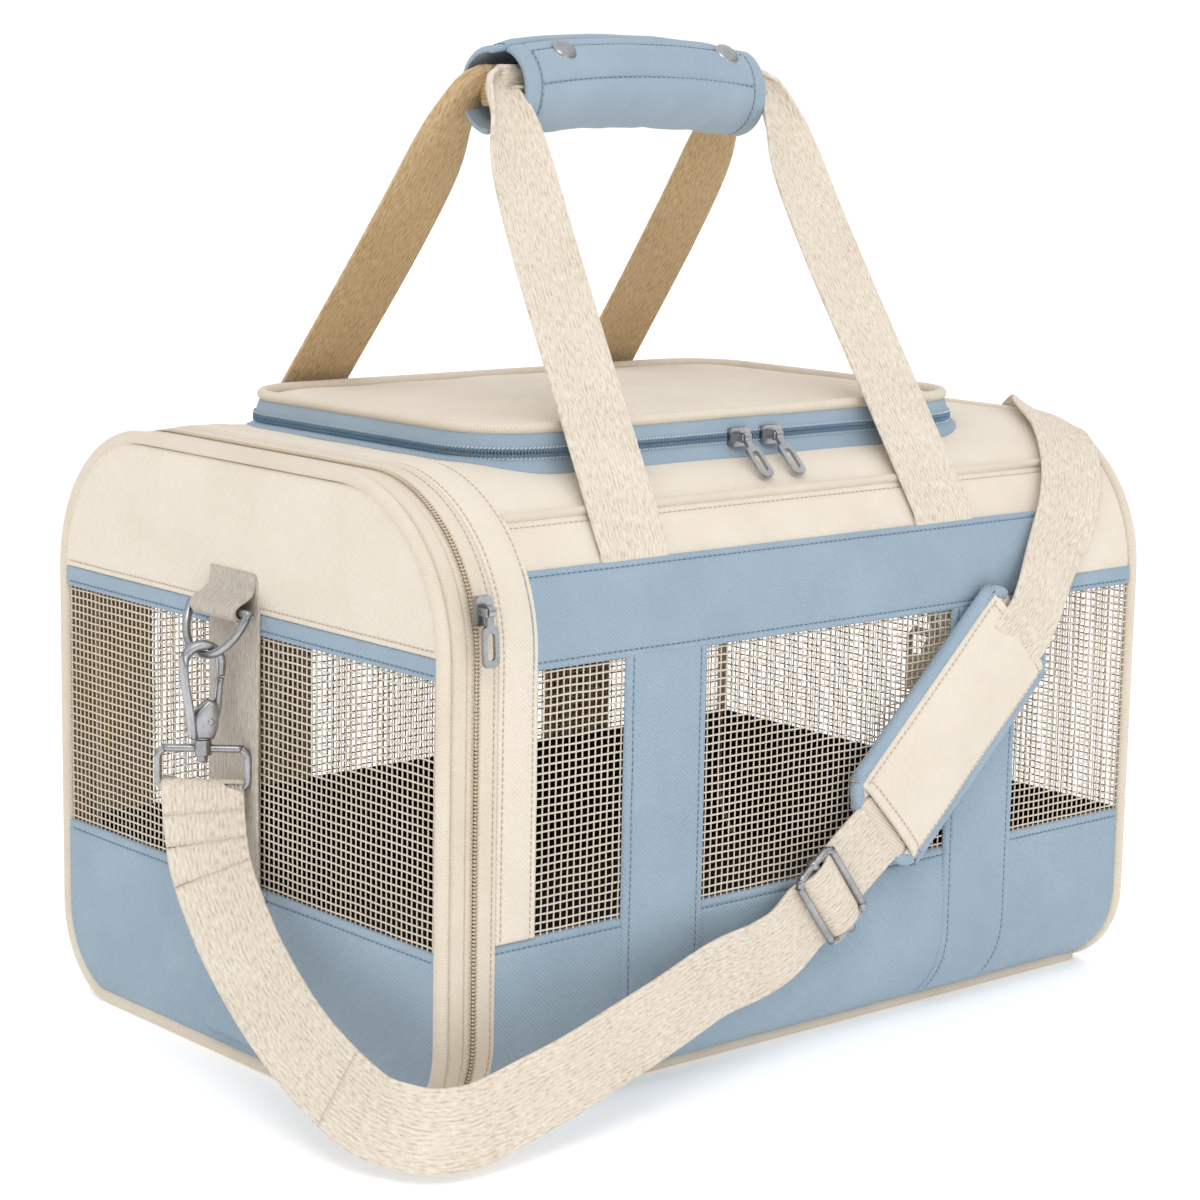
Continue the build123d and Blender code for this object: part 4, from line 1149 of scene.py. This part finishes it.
def right_side():
    """From the pad over the right shoulder, and down to the loop on the fixed end."""
    low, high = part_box("right_swivel_loop")
    bar_z = low.z * 1000 + 1.8

    def shoulder(x, angle, turn=0):
        y, z = on_arc(angle, 1.5 + 1.2 + 2.0)
        return (x, y, z, turn, angle)

    route = [(112, -166.6, 181, 0, 0), (132, -167.8, 199, 0, 0), shoulder(156, 9), shoulder(174, 25),
             shoulder(190, 41), shoulder(203, 57, -8), (216, -101, 289.0, -34, 66),
             (229, -80, 284.0, -50, 42),
             (239, -58, 271, -66, 24), (248, -36, 252, -80, 12), (255, -20, 228, -88, 6),
             (262, -8, 198, -90, 2),
             (263, -3, 168, -90, 0), (258, -1, 148, -90, 0)]
    rows = [list(r[:3]) + facing_normal(*r[3:]) for r in route]
    bar = np.array([HALF_LENGTH + 21.0, -1.0, bar_z])
    for angle in (0, 45, 90, 135, 180):
        a = radians(angle)
        direction = np.array([cos(a), 0, sin(a)])
        rows.append(list(bar + direction * 3.3) + list(direction))
    rows.append([bar[0] - 3.3, -1.0, bar_z - 15] + [-1, 0, 0])
    line = smooth_line(rows, 3.0)
    path, normals = line[:, :3], line[:, 3:]
    along = np.concatenate([[0], np.cumsum(np.linalg.norm(np.diff(path, axis=0), axis=1))])
    mark = [float(along[np.argmin(np.linalg.norm(path - np.array(p), axis=1))])
            for p in ((248, -36, 252), (262, -8, 198), (263, -3, 168), (bar[0] + 3.3, -1, bar_z))]
    cuts = [0] + mark + [along[-1] + 1]
    pairs = [None, ("root", "right_ring"), ("right_ring", "right_hook"), ("right_hook", "right_loop"), "end"]
    for k, pair in enumerate(pairs):
        keep = np.flatnonzero((along >= cuts[k] - 1e-6) & (along <= cuts[k + 1] + 1e-6))
        keep = np.append(keep, keep[-1] + 1) if keep[-1] + 1 < len(along) else keep
        nodes = ["strap_shoulder_run"] if k == 0 else ["strap_right_drop"]
        if pair == "end":
            points, faces, uv = sweep(path[keep], normals[keep], 38.0, 2.4, 7.0, 30)
            obj = make(f"strap_right_{k + 1}", points, faces, uv, [strap_web])
            fit(obj, "right_loop", "webbing", *nodes)
        else:
            strap_part(f"strap_right_{k + 1}", path[keep], normals[keep], pair, nodes)


def shoulder_pad():
    """Flat padded sleeve on the strap: beige face, blue binding all round, folded ends."""
    a, b = np.array([33.0, -165.5, 109.0]), np.array([129.0, -163.0, 196.0])
    direction = (b - a) / np.linalg.norm(b - a)
    normal = np.array([0, -1.0, 0])
    normal -= direction * normal.dot(direction)
    normal /= np.linalg.norm(normal)
    across = np.cross(direction, normal)
    middle = (a + b) / 2
    half_l, half_w, corner = np.linalg.norm(b - a) / 2 + 5.5, 33.0, 13.0
    outline = []
    for cx, cy, start in ((half_l - corner, half_w - corner, 0), (-half_l + corner, half_w - corner, 90),
                          (-half_l + corner, -half_w + corner, 180),
                          (half_l - corner, -half_w + corner, 270)):
        for j in range(13):
            t = radians(start + 90 * j / 12)
            outline.append((cx + corner * cos(t), cy + corner * sin(t)))
    outline = smooth_line(np.column_stack([outline, np.zeros(len(outline))]), 4.0, closed=True)[:, :2]

    def place(p, h):
        return middle + p[:, :1] * direction + p[:, 1:2] * across + np.asarray(h)[..., None] * normal

    def rings(fs, hs):
        return [place(outline * f, np.full(len(outline), h)) for f, h in zip(fs, hs)]

    # Back body, sunk under the strap.
    rows = rings([0.2, 0.9, 0.97, 0.985, 0.97, 0.9, 0.2], [-4.2, -4.2, -3.4, -1.2, 1.0, 1.6, 1.8])
    core = loops("shoulder_pad_core", "root", "beige_fabric", ["shoulder_pad"], rows, [beige_trim], fill=True)
    # Binding round the edge.
    low = np.clip((np.abs(outline[:, 0]) - half_l + 14) / 10, 0,
                  1) * np.clip((24 - np.abs(outline[:, 1])) / 5, 0, 1)
    rim = place(outline * [1 - 3.0 / half_l, 1 - 3.0 / half_w], -1.0 - 3.0 * low)
    points, faces, uv = sweep(rim, np.tile(normal, (len(rim), 1)), 7.0, 6.0, 2.6, 16, closed=True)
    fit(make("shoulder_pad_binding", points, faces, uv, [blue_soft]), "root", "blue_fabric")
    # Sleeve over the strap, with folded and stitched ends.
    us = stations(-half_l + 8.5, half_l - 8.5, 3.5, 1.4)
    vs = stations(-half_w + 4.8, half_w - 4.8, 3.0, 1.4)
    ends = [-half_l + 13.2, half_l - 13.2]
    sides = [-half_w + 7.2, half_w - 7.2]
    us = np.unique(np.concatenate([us] + [m + np.array([-1, -0.5, 0, 0.5, 1]) for m in ends]).round(4))
    vs = np.unique(np.concatenate([vs] + [m + np.array([-1, -0.5, 0, 0.5, 1]) for m in sides]).round(4))
    u, v = np.meshgrid(us, vs, indexing="ij")
    high = 4.6 + 1.1 * np.cos(v / half_w * pi / 2) + ripple(u, v, 71, 45) * 0.4
    fall = np.clip((np.abs(v) - 20) / 9, 0, 1)
    high = high - 3.4 * fall**2 - edge_drop(u, v, us, vs, 1.2)
    for m in ends:
        high = high - 0.5 * np.exp(-((u - m) / 0.6)**2)
    for m in sides:
        high = high - 0.5 * np.exp(-((v - m) / 0.6)**2)

    def lay(height):
        return middle + u[..., None] * direction + v[..., None] * across + height[..., None] * normal

    points, faces, uv, kinds = shell(lay(high), lay(high - 1.6), np.stack([u, v], -1))
    fit(make("shoulder_pad_sleeve", points, faces, uv, [beige]), "root", "beige_fabric")

    def height_at(uu, vv):
        f = np.clip((np.abs(vv) - 20) / 9, 0, 1)
        return 4.5 + 1.1 * np.cos(vv / half_w * pi / 2) + ripple(uu, vv, 71, 45) * 0.4 - 3.4 * f**2

    for m in ends:
        vv = np.arange(vs[0] + 2, vs[-1] - 1, 1.5)
        uu = np.full_like(vv, m)
        path = middle + uu[:, None] * direction + vv[:, None] * across + height_at(uu, vv)[:, None] * normal
        stitch("root", path, np.tile(normal, (len(uu), 1)), "tan")
    for m in sides:
        uu = np.arange(us[0] + 2, us[-1] - 1, 1.5)
        vv = np.full_like(uu, m)
        path = middle + uu[:, None] * direction + vv[:, None] * across + height_at(uu, vv)[:, None] * normal
        stitch("root", path, np.tile(normal, (len(uu), 1)), "tan")


# ---- Hardware ----
def ring_tabs():
    """Webbing folded round each ring's bar, and the strip behind the door's hook."""
    bar_z = 219.0
    for x, facing, body, node in ((-HALF_LENGTH, -1, "door", "left_ring_tab"),
                                  (HALF_LENGTH, 1, "root", "right_ring_tab")):
        rows = [[x + facing * 3.4, 0, bar_z + 17, facing, 0, 0.0],
                [x + facing * 5.0, 0, bar_z + 8, facing, 0, 0.3]]
        centre = np.array([x + facing * 11.0, 0, bar_z])
        for a in (70, 30, 0, -40, -90, -140):
            t = radians(a)
            d = np.array([facing * cos(t), 0, sin(t)])
            rows.append(list(centre + d * 3.7) + list(d))
        rows.append([x + facing * 3.0, 0, bar_z - 3.5, 0, 0, -1])
        line = smooth_line(rows, 1.5)
        points, faces, uv = sweep(line[:, :3], line[:, 3:], 36.0, 2.2, 7.0, 26)
        fit(make(f"{node}_fold", points, faces, uv, [grey_web]), body, "webbing", node)
    z = np.linspace(Z_SILL - 4, 236.0, 60)
    x = -HALF_LENGTH - 3.0 - 0.6 * np.sin((z - Z_SILL) / 30)
    path = np.column_stack([x, np.zeros_like(z), z])
    points, faces, uv = sweep(path, np.tile([-1.0, 0, 0], (len(z), 1)), 40.0, 1.9, 7.0, 26)
    fit(make("door_centre_strip", points, faces, uv, [grey_web]), "door", "webbing", "door_centre_webbing")
    z = np.linspace(12.0, Z_SILL, 40)
    bulge = 2.0 * np.clip(np.sin(pi * (z - 5.25) / (Z_SILL - 5.25)), 0, 1)**0.6
    path = np.column_stack([-HALF_LENGTH - 2.2 - bulge, np.zeros_like(z), z])
    points, faces, uv = sweep(path, np.tile([-1.0, 0, 0], (len(z), 1)), 49.0, 1.9, 7.0, 30)
    fit(make("door_centre_cover", points, faces, uv, [blue]), "door", "blue_fabric")


def turned(line_x, turn):
    """Place points given about a hook's own upright line: local X is the gate side."""
    c, q = cos(radians(turn)), sin(radians(turn))

    def place(p):
        p = np.asarray(p, float)
        return np.column_stack([line_x + p[:, 0] * c - p[:, 1] * q, -1.0 + p[:, 0] * q + p[:, 1] * c,
                                p[:, 2]])

    def aim(v):
        v = np.asarray(v, float)
        return np.column_stack([v[:, 0] * c - v[:, 1] * q, v[:, 0] * q + v[:, 1] * c, v[:, 2]])
    return place, aim


def snap_hook(prefix, line_x, turn, loop_turn):
    """Cast hook with a broad flat spine, its gate, and the swivel loop with rounded corners."""
    low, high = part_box(f"{prefix}_hook")
    bottom, crown_top = low.z * 1000, high.z * 1000
    crown = crown_top - 8.6 - 2.3
    block = bottom + 9.0
    place, aim = turned(line_x, turn)
    rows = [(-4.6, bottom + 0.4, 9.0, 3.4), (-5.2, bottom + 5, 11.0, 3.4), (-6.4, bottom + 14, 12.0, 3.0),
            (-7.8, bottom + 23, 11.4, 2.8), (-8.5, crown - 5, 10.6, 2.8), (-8.6, crown + 1, 9.6, 3.0)]
    for a in (150, 125, 100, 75, 50, 25, 5):
        rows.append((8.6 * cos(radians(a)), crown + 8.6 * sin(radians(a)), 7.8 - a / 90, 4.2))
    rows += [(8.6, crown - 3, 6.0, 4.0), (8.5, crown - 6, 5.0, 3.6)]
    rows = smooth_line([(x, 0, z, w, t) for x, z, w, t in rows], 1.2)
    centre = np.array([0, 0, crown - 6])
    out = rows[:, :3] - centre
    points, faces, uv = sweep(place(rows[:, :3]), aim(out), rows[:, 3], rows[:, 4], 3.2, 20)
    spine = make(f"{prefix}_hook_casting", points, faces, uv, [gunmetal])
    fit(spine, f"{prefix}_hook", "steel", f"{prefix}_hook")
    cheek = smooth_line([(0, 0, bottom + 0.3, 7.4, 9.4), (0.4, 0, bottom + 4, 7.8, 11.6),
                         (1.2, 0, bottom + 9, 7.8, 12.2), (3.0, 0, bottom + 13.5, 7.4, 9.0),
                         (4.8, 0, bottom + 17, 6.4, 5.0)], 1.0)
    points, faces, uv = sweep(place(cheek[:, :3]), aim(np.tile([1.0, 0, 0], (len(cheek), 1))), cheek[:, 3],
                              cheek[:, 4], 5.0, 20)
    fit(make(f"{prefix}_hook_cheek", points, faces, uv, [gunmetal]), f"{prefix}_hook", "steel")
    rivet = [(3.0, y, bottom + 8.0) for y in (-4.5, -4.4, -4.0, 4.0, 4.4, 4.5)]
    size = np.array([1.6, 2.8, 3.2, 3.2, 2.8, 1.6])
    points, faces, uv = sweep(place(rivet), aim(np.tile([1.0, 0, 0], (6, 1))), size, size, 2.0, 16)
    fit(make(f"{prefix}_hook_rivet", points, faces, uv, [bright_steel]), f"{prefix}_hook", "steel",
        f"{prefix}_gate_pin")
    collar = [(0.01, bottom + 0.6), (4.6, bottom + 0.6), (5.0, bottom + 0.3), (4.6, bottom), (0.01, bottom)]
    around = np.arange(28) / 28 * 2 * pi
    rings = [place(np.column_stack([r * np.cos(around), r * np.sin(around), np.full(28, z)])) for r,
             z in collar]
    loops(f"{prefix}_hook_collar", f"{prefix}_hook", "steel", [], rings, [gunmetal])
    # Gate: from its pin in the foot up to the nose.
    pin_z = block - 3.0
    gate = smooth_line([(5.6, 0, pin_z + 2, 5.0, 3.0), (6.8, 0, pin_z + 8, 5.6, 3.4),
                        (7.8, 0, (pin_z + crown) / 2 + 4, 5.4, 3.2), (8.5, 0, crown - 7.2, 5.0, 3.2)], 1.0)
    points, faces, uv = sweep(place(gate[:, :3]), aim(np.tile([1.0, 0, 0], (len(gate), 1))), gate[:, 3],
                              gate[:, 4], 3.0, 16)
    fit(make(f"{prefix}_gate_lever", points, faces, uv, [gunmetal]), f"{prefix}_gate", "steel",
        f"{prefix}_hook_gate")
    # Swivel loop.
    place, aim = turned(line_x, loop_turn)
    low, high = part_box(f"{prefix}_swivel_loop")
    z0, z1 = low.z * 1000 + 1.8, low.z * 1000 + 1.8 + 19.0
    half, r = 20.8, 5.0
    path = []
    for cx, cz, start in ((half - r, z1 - r, 0), (-half + r, z1 - r, 90), (-half + r, z0 + r, 180),
                          (half - r, z0 + r, 270)):
        path += [(cx + r * cos(radians(start + 15 * j)), 0,
                  cz + r * sin(radians(start + 15 * j))) for j in range(7)]
    path = smooth_line(path, 2.0, closed=True)
    middle = np.array([0, 0, (z0 + z1) / 2])
    points, faces, uv = sweep(place(path), aim(path - middle), 3.6, 3.6, 2.0, 14, closed=True)
    fit(make(f"{prefix}_loop_wire", points, faces, uv, [gunmetal]), f"{prefix}_loop", "steel",
        f"{prefix}_swivel_loop")
    top_z = high.z * 1000
    profile = [(0.01, top_z), (3.9, top_z), (4.2, top_z - 0.3), (4.2, top_z - 0.6), (4.2, top_z - 6.8),
               (4.2, top_z - 7.2), (3.9, top_z - 7.5), (2.5, top_z - 7.6), (2.4, top_z - 7.8),
               (2.4, top_z - 10.0),
               (2.1, top_z - 10.5), (0.01, top_z - 10.6)]
    rings = [place(np.column_stack([q * np.cos(around), q * np.sin(around), np.full(28, z)])) for q,
             z in profile]
    loops(f"{prefix}_loop_barrel", f"{prefix}_loop", "steel", [], rings, [gunmetal])


def slide_buckle():
    """Wire frame with rounded corners and a centre bar that ends in knobs."""
    centre, slope = np.array([-2.8, -168.0, 81.0]), radians(37)
    along = np.array([cos(slope), 0, sin(slope)])
    across = np.array([-sin(slope), 0, cos(slope)])
    ha, hw, r = 12.7, 21.0, 4.5
    path = []
    for ca, cw, start in ((ha - r, hw - r, 0), (-ha + r, hw - r, 90), (-ha + r, -hw + r, 180),
                          (ha - r, -hw + r, 270)):
        for j in range(7):
            a = radians(start + 15 * j)
            path.append(centre + along * (ca + r * cos(a)) + across * (cw + r * sin(a)))
    path = smooth_line(path, 2.0, closed=True)
    points, faces, uv = sweep(path, path - centre, 3.9, 3.9, 2.0, 16, closed=True)
    fit(make("buckle_frame", points, faces, uv, [gunmetal]), "root", "steel", "slide_buckle")
    stops = [-hw - 2.6, -hw - 2.4, -hw + 2.2, -hw + 3.2, hw - 3.2, hw - 2.2, hw + 2.4, hw + 2.6]
    radii = [0.4, 5.2, 5.4, 3.4, 3.4, 5.4, 5.2, 0.4]
    path = np.array([centre + across * k for k in stops])
    points, faces, uv = sweep(path, np.tile([0, -1.0, 0], (len(stops), 1)), np.array(radii), np.array(radii),
                              2.0, 16)
    fit(make("buckle_bar", points, faces, uv, [gunmetal]), "root", "steel")


def hardware():
    for name in ("left_d_ring", "right_d_ring", "lid_slider_left",
                 "lid_slider_right", "door_slider", "lid_slider_left_pull", "lid_slider_right_pull",
                 "door_slider_pull"):
        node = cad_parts[name]
        node.data.materials.clear()
        node.data.materials.append(gunmetal)
    for name in ("door_frame_wire", "fixed_end_frame_wire"):
        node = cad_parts[name]
        node.data.materials.clear()
        node.data.materials.append(bright_steel)
    snap_hook("left", -HALF_LENGTH - 21.0, -18, -41)
    snap_hook("right", HALF_LENGTH + 21.0, 180, 90)
    slide_buckle()


def sew():
    """All stitches and zipper teeth, one mesh for each body and thread."""
    for (body, kind), beads in sorted(threads.items()):
        beads.build(f"{body}_{kind}_thread", body, THREADS[kind], THREAD_SLOTS[kind])


camera()
studio()
base()
floor_pad()
long_side(-1, "front")
long_side(1, "rear")
top()
hatch()
end_panel("door", "door", -HALF_LENGTH, -1)
end_panel("fixed_end", "root", HALF_LENGTH, 1)
zip_door()
handle_legs(-1, "front_handle", "front_handle_webbing", handle_web)
handle_legs(1, "rear_handle", "rear_handle_webbing", rear_web)
bundle()
grip_shell("grip_wrap_cover", "front_handle", ["grip_wrap"], 104, 268, GRIP_R, 3.0,
           (GRIP[0] - 1, GRIP[1] - 3), mid_seam=27.0)
grip_shell("grip_flap_cover", "flap", ["grip_flap"], -91, 102, GRIP_R - 1.0, 3.0, (GRIP[0] - 9, GRIP[1] - 5),
           top_bind=False)
snap_caps()
shoulder_strap()
shoulder_pad()
ring_tabs()
hardware()
sew()
